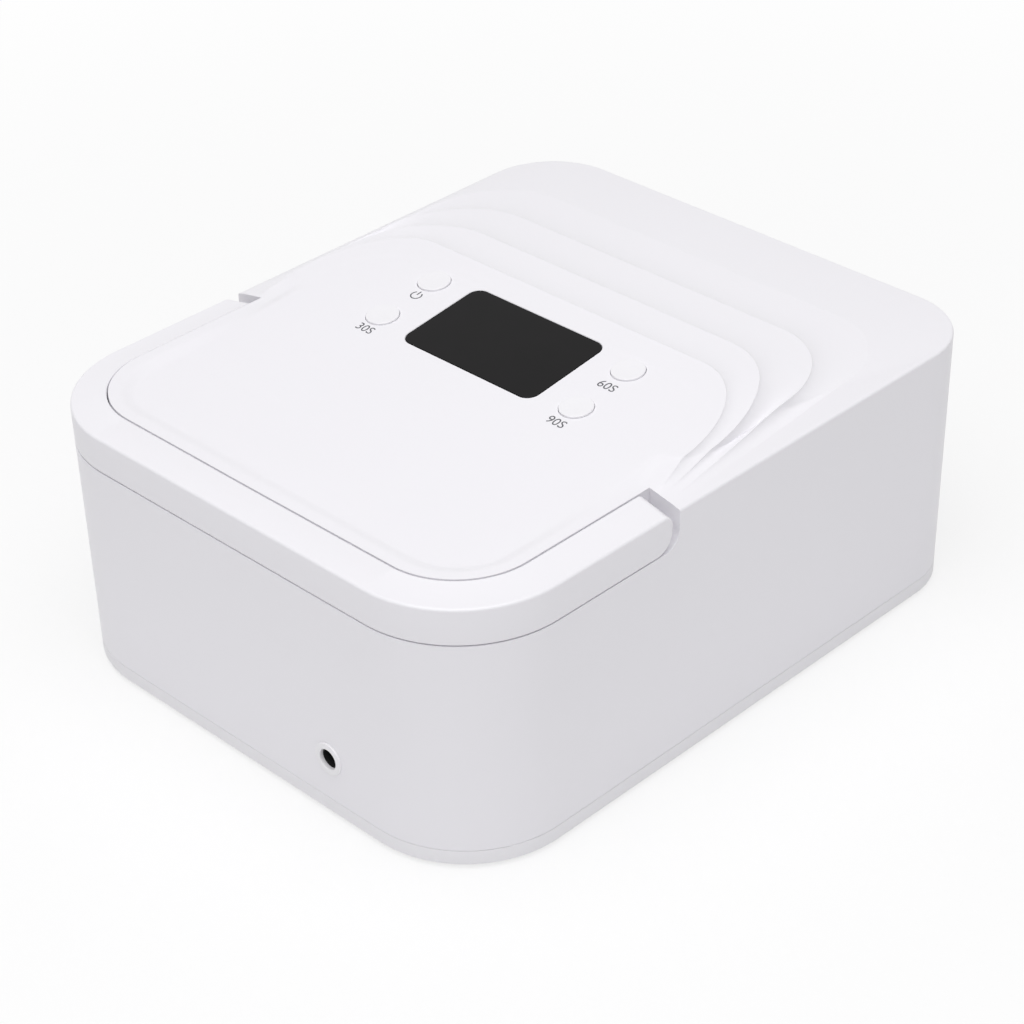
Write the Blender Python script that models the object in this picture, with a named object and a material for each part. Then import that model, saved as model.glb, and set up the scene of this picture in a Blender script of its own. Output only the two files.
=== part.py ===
"""Portable nail lamp: a white box with a hand opening in front and a carrying handle.

The hand goes in at -Y. The power socket and the handle's bar are at +Y. The lamp stands
on rubber feet on z = 0, and the Z axis runs through the middle of its outline.
"""
import math

import bmesh
import bpy
from mathutils import Matrix, Vector

# Body outline and walls
BODY_WIDTH = 0.188
BODY_LENGTH = 0.230
RIM_HEIGHT = 0.0901
FRONT_CORNER = 0.026
BACK_CORNER = 0.037
WALL = 0.0024
DRAFT = 0.0008
EDGE_ROUND = 0.0009
FOOT_STAND = 0.0012
COVER_RIM_HEIGHT = 0.0050
COVER_SEAM = 0.0004
GAP = 0.0003
OVERRUN = 0.0020

# Control panel
PANEL_PLACE = 0.0033
PANEL_RISE = 0.00705
PANEL_SLOPE_DEGREES = 7.03
PANEL_EASE = 0.054
PANEL_THICKNESS = 0.0026
DISPLAY_WIDTH = 0.0550
DISPLAY_LENGTH = 0.0340
DISPLAY_CORNER = 0.0040
WINDOW_THICKNESS = 0.0013
WINDOW_LEDGE = 0.0025
BUTTON_RADIUS = 0.00515
BUTTON_CLEARANCE = 0.0003
BUTTON_SIDE_PLACE = 0.0412
BUTTON_ROW_PLACE = 0.0113
BUTTON_PROUD = 0.0006
BUTTON_FLANGE = 0.0013
BUTTON_TRAVEL = 0.0005
STEM_RADIUS = 0.0016
STEM_LENGTH = 0.0007
SWITCH_SIZE = 0.0062
SWITCH_HEIGHT = 0.0026
PLUNGER_RADIUS = 0.0013
PLUNGER_PROUD = 0.0008

# Ripples between the panel and the outer deck: each row gives a crest's front line as a share
# of the half length, its side behind the corner and beside the notch as shares of the half
# width, its corner's width and depth as shares of the front corner, and its height in front as
# a share of the panel's.
CREST_SHARES = (
    (0.209, 0.897, 0.908, 1.06, 1.45, 1.00),
    (0.357, 0.912, 0.917, 1.27, 1.73, 0.83),
    (0.530, 0.923, 0.926, 1.19, 1.36, 0.59),
    (0.713, 0.937, 0.936, 1.08, 1.19, 0.36),
)
CREST_FALL_SHARE = 0.19
# Points across a tread: place between two crests, and share of the tread's full depth.
TREAD_SHARES = ((0.14, 0.62), (0.38, 1.00), (0.72, 0.58))
TREAD_DEPTH_SHARE = 0.058
# Rings inside the first crest: front line, side and corner as above, and the distance from the
# outline behind the notch as a share of the handle's width.
INNER_SHARES = (
    (0.174, 0.862, 0.96, 1.35, 1.00),
    (0.139, 0.830, 0.88, 1.23, 1.26),
    (0.104, 0.777, 0.77, 1.08, 1.70),
)
CROWN_AT_NOTCH = 0.0024
CROWN_AT_BACK = 0.0015

# Carrying handle
HANDLE_WIDTH = 0.0115
HANDLE_HEIGHT = 0.0119
HANDLE_GAP = 0.0004
NOTCH_PLACE = 0.0285
NOTCH_ROUND = 0.0060
NOTCH_WIDTH = 0.0030
ARM_TOP_ROUND = 0.0040
ARM_END_RADIUS = 0.0062
HANDLE_WALL = 0.0022
INSERT_THICKNESS = 0.0040
INSERT_START = 0.018
PIN_RADIUS = 0.0020
PIN_CLEARANCE = 0.00006
PIN_REACH = 0.0065
HINGE_BOSS_RADIUS = 0.0048
HINGE_BOSS_LENGTH = 0.0045
CLIP_RADIUS = 0.0036
CLIP_THICKNESS = 0.0008

# Hand opening and lining
OPENING_MARGIN = 0.0025
OPENING_DROP = 0.0060
OPENING_CORNER = 0.024
LINER_WALL = 0.0016
LINER_SIDE_ROOM = 0.0185
LINER_LEAN = 0.0155
LINER_SHOULDER = 0.0300
LINER_ROOF_ROOM = 0.0241
LINER_BACK_ROOM = 0.0470
LINER_FLANGE = 0.0050
BEAD_RADIUS = 0.0031
BEAD_PROUD = 0.0024
BEAD_CLEARANCE = 0.0003
ROOF_BEAD_ROWS = 5
ROOF_BEAD_COLUMNS = 3
BEAD_ROW_PITCH_SHARE = 0.164
BEAD_COLUMN_PITCH_SHARE = 0.30
SIDE_BEADS = 5
LED_BOARD_THICKNESS = 0.0014
LED_BOARD_MARGIN = 0.0075
SENSOR_RADIUS = 0.0026
SENSOR_INSET = 0.0155
LINER_LUG = 0.0060
LINER_LUG_THICKNESS = 0.0022

# Base
BASE_THICKNESS = 0.0022
TONGUE_THICKNESS = 0.0016
TONGUE_HEIGHT = 0.0030
REST_THICKNESS = 0.0008
REST_MARGIN = 0.0030
REST_BEAD_HEIGHT = 0.0006
REST_BEAD_WIDTH = 0.0020
FOOT_RADIUS = 0.0065
FOOT_RECESS = 0.0010
FOOT_INSET = 0.018
BOSS_RADIUS = 0.0040
FRONT_BOSS_INSET = 0.0136
BACK_BOSS_SIDE_INSET = 0.0165
BACK_BOSS_END_INSET = 0.0195
SCREW_RADIUS = 0.0014
SCREW_HOLE_RADIUS = 0.0017
SCREW_HEAD_RADIUS = 0.0028
SCREW_HEAD_HEIGHT = 0.0013
SCREW_LENGTH = 0.0100
SMALL_SCREW_RADIUS = 0.0009
SMALL_SCREW_HOLE_RADIUS = 0.0012
SMALL_HEAD_RADIUS = 0.0019
SMALL_HEAD_HEIGHT = 0.0010
SMALL_SCREW_LENGTH = 0.0050

# Electrics
SOCKET_SIDE_PLACE = -0.0372
SOCKET_HEIGHT = 0.0214
SOCKET_BORE = 0.0033
SOCKET_BARREL = 0.0043
SOCKET_BODY_WIDTH = 0.0100
SOCKET_BODY_DEPTH = 0.0130
SOCKET_PIN_RADIUS = 0.0010
SOCKET_PIN_LENGTH = 0.0095
BEZEL_RADIUS = 0.0053
BEZEL_PROUD = 0.0003
NUT_RADIUS = 0.0066
NUT_THICKNESS = 0.0018
BOARD_THICKNESS = 0.0016
CONTROL_BOARD_SIDE_ROOM = 0.036
CONTROL_BOARD_LENGTH = 0.044
CONTROL_BOARD_DEPTH = 0.0086
BOARD_POST_RADIUS = 0.0030
BOARD_POST_INSET = 0.0040
CHARGE_BOARD_WIDTH = 0.040
CHARGE_BOARD_LENGTH = 0.0160
CELL_RADIUS = 0.0092
CELL_SIDE_ROOM = 0.0290
CELL_CAP_RADIUS = 0.0032
CELL_CAP_HEIGHT = 0.0012
HOLDER_WALL = 0.0016
HOLDER_LUG = 0.0090
BUZZER_RADIUS = 0.0060
BUZZER_HEIGHT = 0.0050
LEAD_RADIUS = 0.0011
LEAD_BEND = 0.0060

# Points along an outline ring, from the middle of the front to the middle of the back
FRONT_POINTS = 3
CORNER_POINTS = 8
FLANK_POINTS = 7
ARM_POINTS = 5
BACK_POINTS = 3
ROUND_POINTS = 18
SMALL_ROUND_POINTS = 8

HALF_WIDTH = BODY_WIDTH / 2
HALF_LENGTH = BODY_LENGTH / 2
PANEL_SLOPE = math.radians(PANEL_SLOPE_DEGREES)
COVER_TOP = FOOT_STAND + COVER_RIM_HEIGHT
SHELL_BOTTOM = COVER_TOP + COVER_SEAM
HANDLE_BOTTOM = RIM_HEIGHT - HANDLE_HEIGHT
RECESS_FLOOR = HANDLE_BOTTOM - HANDLE_GAP
FLOOR_TOP = FOOT_STAND + BASE_THICKNESS
LINER_WIDTH = BODY_WIDTH - 2 * LINER_SIDE_ROOM
LINER_ROOF_WIDTH = LINER_WIDTH - 2 * LINER_LEAN
LINER_ROOF_HEIGHT = RIM_HEIGHT - LINER_ROOF_ROOM
LINER_BACK_PLACE = HALF_LENGTH - LINER_BACK_ROOM
OPENING_WIDTH = LINER_WIDTH - 2 * OPENING_MARGIN
OPENING_HEIGHT = LINER_ROOF_HEIGHT - OPENING_DROP
ROOF_BEAD_ROW_PITCH = (LINER_BACK_PLACE + HALF_LENGTH) * BEAD_ROW_PITCH_SHARE
ROOF_BEAD_COLUMN_PITCH = LINER_ROOF_WIDTH * BEAD_COLUMN_PITCH_SHARE
CONTROL_BOARD_WIDTH = BODY_WIDTH - 2 * CONTROL_BOARD_SIDE_ROOM
CELL_LENGTH = HALF_WIDTH - CELL_SIDE_ROOM
ARM_END = NOTCH_PLACE + NOTCH_WIDTH
PIVOT_PLACE = ARM_END + ARM_END_RADIUS
PIVOT_HEIGHT = HANDLE_BOTTOM + ARM_END_RADIUS + GAP

COLOURS = {
    "shell_white": ((0.86, 0.86, 0.89), 0.34, 0.0),
    "handle_white": ((0.87, 0.87, 0.90), 0.36, 0.0),
    "cover_white": ((0.82, 0.82, 0.85), 0.42, 0.0),
    "button_white": ((0.88, 0.88, 0.91), 0.30, 0.0),
    "window_black": ((0.012, 0.011, 0.012), 0.06, 0.0),
    "module_grey": ((0.10, 0.10, 0.11), 0.5, 0.0),
    "rubber_grey": ((0.30, 0.30, 0.31), 0.8, 0.0),
    "liner_white": ((0.90, 0.90, 0.92), 0.22, 0.0),
    "steel": ((0.62, 0.62, 0.63), 0.28, 1.0),
    "bright_steel": ((0.78, 0.78, 0.79), 0.16, 1.0),
    "brass": ((0.80, 0.62, 0.30), 0.3, 1.0),
    "board_green": ((0.03, 0.19, 0.10), 0.45, 0.0),
    "board_white": ((0.80, 0.81, 0.80), 0.4, 0.0),
    "bead_yellow": ((0.92, 0.88, 0.62), 0.12, 0.0),
    "sensor_black": ((0.02, 0.015, 0.02), 0.1, 0.0),
    "socket_black": ((0.02, 0.02, 0.02), 0.4, 0.0),
    "bezel_white": ((0.84, 0.84, 0.86), 0.3, 0.0),
    "cell_blue": ((0.10, 0.25, 0.50), 0.35, 0.0),
    "holder_black": ((0.035, 0.035, 0.04), 0.5, 0.0),
    "lead_red": ((0.55, 0.03, 0.03), 0.45, 0.0),
    "lead_black": ((0.02, 0.02, 0.02), 0.45, 0.0),
    "lead_white": ((0.80, 0.80, 0.80), 0.45, 0.0),
}


def material(name):
    """One Principled material for each named colour."""
    found = bpy.data.materials.get(name)
    if found:
        return found
    colour, roughness, metallic = COLOURS[name]
    made = bpy.data.materials.new(name)
    made.use_nodes = True
    shader = made.node_tree.nodes["Principled BSDF"]
    shader.inputs["Base Color"].default_value = (*colour, 1.0)
    shader.inputs["Roughness"].default_value = roughness
    shader.inputs["Metallic"].default_value = metallic
    return made


def add_object(name, bm, slot=None, parent=None, smooth_degrees=32):
    """Turn a bmesh into a named object with outward faces."""
    bmesh.ops.recalc_face_normals(bm, faces=bm.faces)
    mesh = bpy.data.meshes.new(name)
    bm.to_mesh(mesh)
    bm.free()
    made = bpy.data.objects.new(name, mesh)
    bpy.context.scene.collection.objects.link(made)
    mesh.shade_smooth()
    mesh.set_sharp_from_angle(angle=math.radians(smooth_degrees))
    if slot:
        mesh.materials.append(material(slot))
    if parent:
        made.parent = parent
    return made


def add_empty(name, place, turn=0.0):
    """An empty that carries the pieces set out from one place, turned about X."""
    made = bpy.data.objects.new(name, None)
    made.location = place
    made.rotation_euler = (turn, 0, 0)
    bpy.context.scene.collection.objects.link(made)
    return made


def as_cutter(made):
    """Mark an object as a tool for Booleans only."""
    made.hide_render = True
    made.display_type = "WIRE"
    return made


def combine(target, tool, operation):
    """Add a Boolean of the tool to the target."""
    step = target.modifiers.new(operation.lower() + "_" + tool.name, "BOOLEAN")
    step.operation = operation
    step.solver = "EXACT"
    step.object = as_cutter(tool)


def loft(bm, rings, cap_start=True, cap_end=True):
    """Bridge closed rings of equally many points, with an n-gon at either end."""
    loops = [[bm.verts.new(point) for point in ring] for ring in rings]
    count = len(loops[0])
    for low, high in zip(loops, loops[1:]):
        for i in range(count):
            j = (i + 1) % count
            bm.faces.new((low[i], low[j], high[j], high[i]))
    if cap_start:
        bm.faces.new(list(reversed(loops[0])))
    if cap_end:
        bm.faces.new(loops[-1])
    return loops


def circle(radius, height, centre=(0.0, 0.0), points=ROUND_POINTS):
    """Points of a level circle."""
    turns = (2 * math.pi * i / points for i in range(points))
    return [(centre[0] + radius * math.cos(t), centre[1] + radius * math.sin(t), height) for t in turns]


def turned(bm, profile, centre=(0.0, 0.0), points=ROUND_POINTS):
    """A solid of revolution about Z from (radius, height) pairs, closed by flat ends."""
    loft(bm, [circle(radius, height, centre, points) for radius, height in profile])


def tube(bm, profile, centre=(0.0, 0.0), points=ROUND_POINTS):
    """A ring turned about Z: the profile closes on itself."""
    loops = [[bm.verts.new(p) for p in circle(radius, height, centre, points)] for radius, height in profile]
    for low, high in zip(loops, loops[1:] + loops[:1]):
        for i in range(points):
            j = (i + 1) % points
            bm.faces.new((low[i], low[j], high[j], high[i]))


def slab(bm, half_x, half_y, low, high, corner=0.0, centre=(0.0, 0.0), points=5):
    """A level block with rounded corners."""
    rings = []
    for height in (low, high):
        ring = []
        for sign_x, sign_y, start in ((1, -1, -90), (1, 1, 0), (-1, 1, 90), (-1, -1, 180)):
            if corner <= 0:
                ring.append((centre[0] + sign_x * half_x, centre[1] + sign_y * half_y, height))
                continue
            for i in range(points):
                t = math.radians(start + 90 * i / (points - 1))
                x = centre[0] + sign_x * (half_x - corner) + corner * math.cos(t)
                y = centre[1] + sign_y * (half_y - corner) + corner * math.sin(t)
                ring.append((x, y, height))
        rings.append(ring)
    loft(bm, rings)


def prism_y(bm, outline, front, back):
    """A solid from an (x, z) outline carried along Y."""
    loft(bm, [[(x, front, z) for x, z in outline], [(x, back, z) for x, z in outline]])


def prism_x(bm, outline, left, right):
    """A solid from a (y, z) outline carried along X."""
    loft(bm, [[(left, y, z) for y, z in outline], [(right, y, z) for y, z in outline]])


# Body surface


def half_plan(front, side, corner, depth, inset):
    """Right half of a level outline ring, from mid front to mid back.

    The front, the side and the corner's width and depth shape it ahead of the notch. Behind the
    notch it follows the body's outline at the given inset.
    """
    points = [((side - corner) * i / FRONT_POINTS, -front) for i in range(FRONT_POINTS)]
    for i in range(CORNER_POINTS):
        t = math.pi / 2 * i / (CORNER_POINTS - 1)
        points.append((side - corner + corner * math.sin(t), -front + depth - depth * math.cos(t)))
    beside = HALF_WIDTH - inset
    start = -front + depth
    for i in range(1, FLANK_POINTS + 1):
        share = i / FLANK_POINTS
        points.append((side + (beside - side) * share**1.25, start + (NOTCH_PLACE - start) * share))
    end = HALF_LENGTH - BACK_CORNER
    points += [(beside, NOTCH_PLACE + (end - NOTCH_PLACE) * i / ARM_POINTS) for i in range(1, ARM_POINTS)]
    radius = BACK_CORNER - inset
    for i in range(CORNER_POINTS):
        t = math.pi / 2 * i / (CORNER_POINTS - 1)
        points.append((HALF_WIDTH - BACK_CORNER + radius * math.cos(t), end + radius * math.sin(t)))
    last = HALF_WIDTH - BACK_CORNER
    points += [(last * (1 - i / BACK_POINTS), HALF_LENGTH - inset) for i in range(1, BACK_POINTS + 1)]
    return points


def inset_plan(inset):
    """Right half of the body's outline, moved inwards all round."""
    corner = FRONT_CORNER - inset
    return half_plan(HALF_LENGTH - inset, HALF_WIDTH - inset, corner, corner, inset)


def whole(half):
    """Mirror a half ring of (x, y, z) points into a closed ring."""
    return half + [(-x, y, z) for x, y, z in reversed(half[1:-1])]


def level(plan, height):
    """Closed ring of a half plan at one height."""
    return whole([(x, y, height) for x, y in plan])


def panel_height(y):
    """Height of the panel over the rim: a slope that eases to level towards the handle."""
    slope = math.tan(PANEL_SLOPE)
    past = min(max(y - NOTCH_PLACE, 0.0), PANEL_EASE)
    straight = PANEL_RISE - slope * (min(y, NOTCH_PLACE) - PANEL_PLACE)
    return straight - slope * (past - past * past / (2 * PANEL_EASE))


FLANK_START = FRONT_POINTS + CORNER_POINTS - 1
FLANK_END = FLANK_START + FLANK_POINTS


def crown(i, count):
    """Height of the deck at the handle's inner line, from the notch to the back."""
    share = (i - FLANK_END) / (count - 1 - FLANK_END)
    return CROWN_AT_NOTCH + (CROWN_AT_BACK - CROWN_AT_NOTCH) * min(max(share, 0.0), 1.0)


def crest_rings():
    """Right halves of the crests as (x, y, height over the rim), the panel's edge first.

    The first crest lies on the panel up to its flank. The others fall evenly from a place a
    little behind their front line. All of them end at the notch, on the crown of the handle.
    """
    rings = []
    for front_share, side_share, notch_share, width_share, depth_share, rise_share in CREST_SHARES:
        front = HALF_LENGTH * front_share
        inset = HALF_WIDTH * (1 - notch_share)
        plan = half_plan(front, HALF_WIDTH * side_share, FRONT_CORNER * width_share,
                         FRONT_CORNER * depth_share, inset)
        crown_share = inset / HANDLE_WIDTH
        fall_start = plan[FLANK_START][1]
        if rings:
            fall_start = HALF_LENGTH * CREST_FALL_SHARE - front
        ring = []
        for i, (x, y) in enumerate(plan):
            ahead = rise_share * panel_height(-HALF_LENGTH * CREST_SHARES[0][0])
            if not rings:
                ahead = panel_height(min(y, fall_start))
            share = min(max((y - fall_start) / (NOTCH_PLACE - fall_start), 0.0), 1.0)
            ring.append((x, y, ahead * (1 - share) + crown_share * crown(i, len(plan)) * share))
        rings.append(ring)
    return rings


def tread_rings(inner, outer):
    """Rings of one hollow tread between two crests, fading out at the notch."""
    rings = []
    for place_share, depth_share in TREAD_SHARES:
        ring = []
        for i, (a, b) in enumerate(zip(inner, outer)):
            width = math.hypot(b[0] - a[0], b[1] - a[1])
            fade = min(max((FLANK_END - i) / FLANK_POINTS, 0.0), 1.0)
            point = [a[k] + (b[k] - a[k]) * place_share for k in range(3)]
            point[2] -= width * TREAD_DEPTH_SHARE * depth_share * fade
            ring.append(tuple(point))
        rings.append(ring)
    return rings


def inner_rings():
    """Rings from the soft edge of the panel out to the handle's inner line."""
    rings = []
    for k, (front_share, side_share, width_share, depth_share, inset_share) in enumerate(INNER_SHARES):
        plan = half_plan(HALF_LENGTH * front_share, HALF_WIDTH * side_share,
                         FRONT_CORNER * width_share, FRONT_CORNER * depth_share,
                         HANDLE_WIDTH * inset_share)
        ring = []
        for i, (x, y) in enumerate(plan):
            share = min(max((i - FLANK_START) / FLANK_POINTS, 0.0), 1.0)
            border = crown(i, len(plan))
            height = panel_height(y) * (1 - share) + border * share
            if k == len(INNER_SHARES) - 1:
                height = panel_height(y)
            ring.append((x, y, height))
        rings.append(ring)
    return list(reversed(rings))


def body_block(name):
    """The solid block that the shell and the handle are both cut from."""
    crests = crest_rings()
    halves = inner_rings() + [crests[0]]
    for inner, outer in zip(crests, crests[1:]):
        halves += tread_rings(inner, outer) + [outer]
    for i in range(3):
        t = math.pi / 4 * i
        inset = EDGE_ROUND * (1 - math.sin(t))
        halves.append([(x, y, EDGE_ROUND * (math.cos(t) - 1)) for x, y in inset_plan(inset)])
    rings = [whole([(x, y, RIM_HEIGHT + z) for x, y, z in half]) for half in halves]
    rings.append(level(inset_plan(DRAFT), SHELL_BOTTOM))
    bm = bmesh.new()
    loops = loft(bm, rings, cap_start=False)
    close_panel(bm, loops[0], len(halves[0]))
    return add_object(name, bm, "shell_white")


def close_panel(bm, loop, half_count):
    """Fill the panel with strips between mirrored points, so that each face is flat."""
    right = loop[:half_count]
    left = [loop[0]] + list(reversed(loop[half_count:])) + [loop[half_count - 1]]
    first = FRONT_POINTS + 1
    last = half_count - 1 - BACK_POINTS - 1
    bm.faces.new(right[: first + 1] + list(reversed(left[1: first + 1])))
    for i in range(first, last):
        bm.faces.new((right[i], right[i + 1], left[i + 1], left[i]))
    bm.faces.new(right[last:] + list(reversed(left[last:-1])))


# Handle


def u_path(inset):
    """Plan points along the U of the handle, from the right arm's end to the left arm's."""
    plan = inset_plan(inset)[FLANK_END:]
    return plan + [(-x, y) for x, y in reversed(plan[:-1])]


def end_stations(start, radius):
    """Places of points round an arm's end, closer together near its tip."""
    return [start + radius * (1 - math.cos(math.pi / 2 * i / 5)) for i in range(6)]


def u_bar(name, start, inner_inset, outer_inset, low_round, top_round, low, high):
    """A bar bent into a U in plan, with rounded arm ends."""
    inner = u_path(inner_inset)
    outer = u_path(outer_inset)
    ends = end_stations(start, max(low_round, top_round))
    stations = []
    for place in ends:
        past = min(place - start, low_round)
        raised = low_round - math.sqrt(max(low_round**2 - (low_round - past) ** 2, 0.0))
        fallen = 0.0
        if top_round:
            past = min(place - start, top_round)
            fallen = top_round - math.sqrt(max(top_round**2 - (top_round - past) ** 2, 0.0))
        stations.append((place, low + raised, high - fallen))
    rows = [((inner[0][0], y), (outer[0][0], y), below, above) for y, below, above in stations]
    middle = [k for k, point in enumerate(inner) if point[1] > ends[-1] + GAP]
    rows += [(inner[k], outer[k], low, high) for k in middle]
    rows += [((-a[0], a[1]), (-b[0], b[1]), below, above) for a, b, below, above in reversed(rows[:len(ends)])]
    bm = bmesh.new()
    loft(bm, [[(*a, below), (*b, below), (*b, above), (*a, above)] for a, b, below, above in rows])
    return add_object(name, bm)


def make_handle(axis):
    """Upper part of the handle, the insert in its underside, and its pins and clips."""
    shell = body_block("handle_shell")
    shell.data.materials.clear()
    shell.data.materials.append(material("handle_white"))
    top = RIM_HEIGHT + CROWN_AT_NOTCH
    reach = u_bar("handle_reach", ARM_END, HANDLE_WIDTH - HANDLE_GAP, -OVERRUN,
                  ARM_END_RADIUS, ARM_TOP_ROUND, HANDLE_BOTTOM, top)
    combine(shell, reach, "INTERSECT")
    start = PIVOT_PLACE + INSERT_START
    groove_top = RIM_HEIGHT - HANDLE_WALL
    groove = u_bar("handle_groove", start, HANDLE_WIDTH - HANDLE_GAP - HANDLE_WALL, HANDLE_WALL,
                   GAP, 0, HANDLE_BOTTOM - OVERRUN, groove_top)
    combine(shell, groove, "DIFFERENCE")
    insert = u_bar("handle_insert", start + GAP, HANDLE_WIDTH - HANDLE_GAP - HANDLE_WALL - GAP,
                   HANDLE_WALL + GAP, GAP, 0, HANDLE_BOTTOM, HANDLE_BOTTOM + INSERT_THICKNESS)
    insert.data.materials.append(material("handle_white"))
    blind = bmesh.new()
    inner_wall = HALF_WIDTH - HANDLE_WIDTH
    hole_depth = inner_wall + HANDLE_GAP + PIN_REACH
    pin_end = inner_wall - WALL - HINGE_BOSS_LENGTH - CLIP_THICKNESS * 3
    clip_place = inner_wall - WALL - HINGE_BOSS_LENGTH - GAP
    pieces = [shell, insert]
    for side, name in ((1, "right"), (-1, "left")):
        rod_x(blind, side, PIN_RADIUS + GAP, inner_wall - WALL, hole_depth + GAP)
        bm = bmesh.new()
        rod_x(bm, side, PIN_RADIUS, pin_end, hole_depth)
        pieces.append(add_object("hinge_pin_" + name, bm, "bright_steel"))
        bm = bmesh.new()
        ring_x(bm, side, PIN_RADIUS + GAP, CLIP_RADIUS, clip_place - CLIP_THICKNESS, clip_place)
        pieces.append(add_object("hinge_clip_" + name, bm, "steel"))
    combine(shell, add_object("handle_pin_holes", blind), "DIFFERENCE")
    for piece in pieces:
        rest_on(piece, axis)


def rest_on(piece, axis):
    """Hang a piece on an empty and keep it where it was drawn."""
    piece.data.transform(Matrix.Translation(-axis.location))
    piece.parent = axis


def rod_x(bm, side, radius, start, end, points=16):
    """A round bar along X at the handle's pivot, on one side."""
    centre = Vector((0, PIVOT_PLACE, PIVOT_HEIGHT))
    rings = []
    for x in (start, end):
        ring = [(side * x, centre.y + radius * math.cos(2 * math.pi * i / points),
                 centre.z + radius * math.sin(2 * math.pi * i / points)) for i in range(points)]
        rings.append(ring)
    loft(bm, rings)


def ring_x(bm, side, inner, outer, start, end, points=16):
    """A flat ring round the pivot's axis."""
    rings = []
    for radius, x in ((outer, start), (outer, end), (inner, end), (inner, start)):
        rings.append([bm.verts.new((side * x, PIVOT_PLACE + radius * math.cos(2 * math.pi * i / points),
                                    PIVOT_HEIGHT + radius * math.sin(2 * math.pi * i / points))) for i in range(points)])
    for low, high in zip(rings, rings[1:] + rings[:1]):
        for i in range(points):
            j = (i + 1) % points
            bm.faces.new((low[i], low[j], high[j], high[i]))


def screw_body(bm, low, head_radius, head_height, radius, length):
    """A pan-head screw that points up, on its own axis."""
    profile = [(head_radius * 0.8, low), (head_radius, low + head_height * 0.4), (head_radius, low + head_height),
               (radius, low + head_height), (radius, low + head_height + length)]
    turned(bm, profile, points=SMALL_ROUND_POINTS)


# Shell


def make_shell(panel):
    """Upper housing: hollow, with the handle's recess, posts, window, button and socket holes."""
    shell = body_block("upper_housing")
    low = bmesh.new()
    loft(low, [level(inset_plan(WALL + DRAFT), SHELL_BOTTOM - OVERRUN),
               level(inset_plan(WALL), RECESS_FLOOR - WALL)])
    combine(shell, add_object("housing_hollow", low), "DIFFERENCE")
    high = bmesh.new()
    corner = FRONT_CORNER - WALL
    upper = half_plan(HALF_LENGTH - WALL, HALF_WIDTH - WALL, corner, corner, HANDLE_WIDTH + WALL)
    loft(high, [level(upper, RECESS_FLOOR - WALL - OVERRUN), level(upper, RIM_HEIGHT - PANEL_THICKNESS)])
    combine(shell, add_object("housing_upper_hollow", high), "DIFFERENCE")
    combine(shell, panel_hollow(), "DIFFERENCE")
    recess = u_bar("handle_recess", NOTCH_PLACE, HANDLE_WIDTH, -OVERRUN, NOTCH_ROUND, 0,
                   RECESS_FLOOR, RIM_HEIGHT + PANEL_RISE)
    combine(shell, recess, "DIFFERENCE")
    combine(shell, front_arch(), "DIFFERENCE")
    combine(shell, housing_posts(), "UNION")
    combine(shell, panel_posts(panel), "UNION")
    combine(shell, hinge_bosses(), "UNION")
    combine(shell, clip_rooms(), "DIFFERENCE")
    combine(shell, housing_holes(), "DIFFERENCE")
    combine(shell, panel_holes(panel), "DIFFERENCE")
    combine(shell, socket_hole(), "DIFFERENCE")
    return shell


def panel_hollow():
    """Space under the panel and the ripples, with a roof that follows both."""
    front = HALF_LENGTH * CREST_SHARES[0][0]
    far = HALF_LENGTH - HANDLE_WIDTH * 1.3
    ceiling = RIM_HEIGHT - PANEL_THICKNESS
    peak = RIM_HEIGHT + panel_height(-front) - PANEL_THICKNESS * 1.15
    outline = [(-far, ceiling - OVERRUN), (-far, ceiling + WALL / 2), (-front, peak)]
    steps = 8
    for i in range(steps + 1):
        y = NOTCH_PLACE + PANEL_EASE * 0.7 * i / steps
        outline.append((y, max(RIM_HEIGHT + panel_height(y) - PANEL_THICKNESS, ceiling - OVERRUN / 2)))
    outline.append((outline[-1][0], ceiling - OVERRUN))
    bm = bmesh.new()
    half = HALF_WIDTH * CREST_SHARES[0][1] - FRONT_CORNER * 0.8
    prism_x(bm, outline, -half, half)
    return add_object("panel_hollow", bm)


def arch_outline(width, low, high, corner, steps=7):
    """(x, z) outline of an arch with rounded upper corners."""
    half = width / 2
    points = [(half, low)]
    points += [(half - corner + corner * math.cos(math.pi / 2 * i / steps),
                high - corner + corner * math.sin(math.pi / 2 * i / steps)) for i in range(steps + 1)]
    return points + [(-x, z) for x, z in reversed(points)]


def front_arch():
    """Tool for the hand opening in the front wall."""
    bm = bmesh.new()
    outline = arch_outline(OPENING_WIDTH, SHELL_BOTTOM - OVERRUN, OPENING_HEIGHT, OPENING_CORNER)
    prism_y(bm, outline, -HALF_LENGTH - OVERRUN, -HALF_LENGTH + WALL + OVERRUN)
    return add_object("front_arch", bm)


def post_places():
    """Plan places of the four posts that take the base screws."""
    front = (HALF_WIDTH - FRONT_BOSS_INSET, -HALF_LENGTH + FRONT_BOSS_INSET + WALL)
    back = (HALF_WIDTH - BACK_BOSS_SIDE_INSET, HALF_LENGTH - BACK_BOSS_END_INSET)
    return [front, (-front[0], front[1]), back, (-back[0], back[1])]


def housing_posts():
    """Posts from the roof down to the base."""
    bm = bmesh.new()
    for place in post_places():
        top = RECESS_FLOOR - WALL / 2 if place[1] > 0 else RIM_HEIGHT - PANEL_THICKNESS / 2
        turned(bm, [(BOSS_RADIUS, FLOOR_TOP + GAP), (BOSS_RADIUS, top)], place, 14)
    return add_object("housing_posts", bm)


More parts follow.
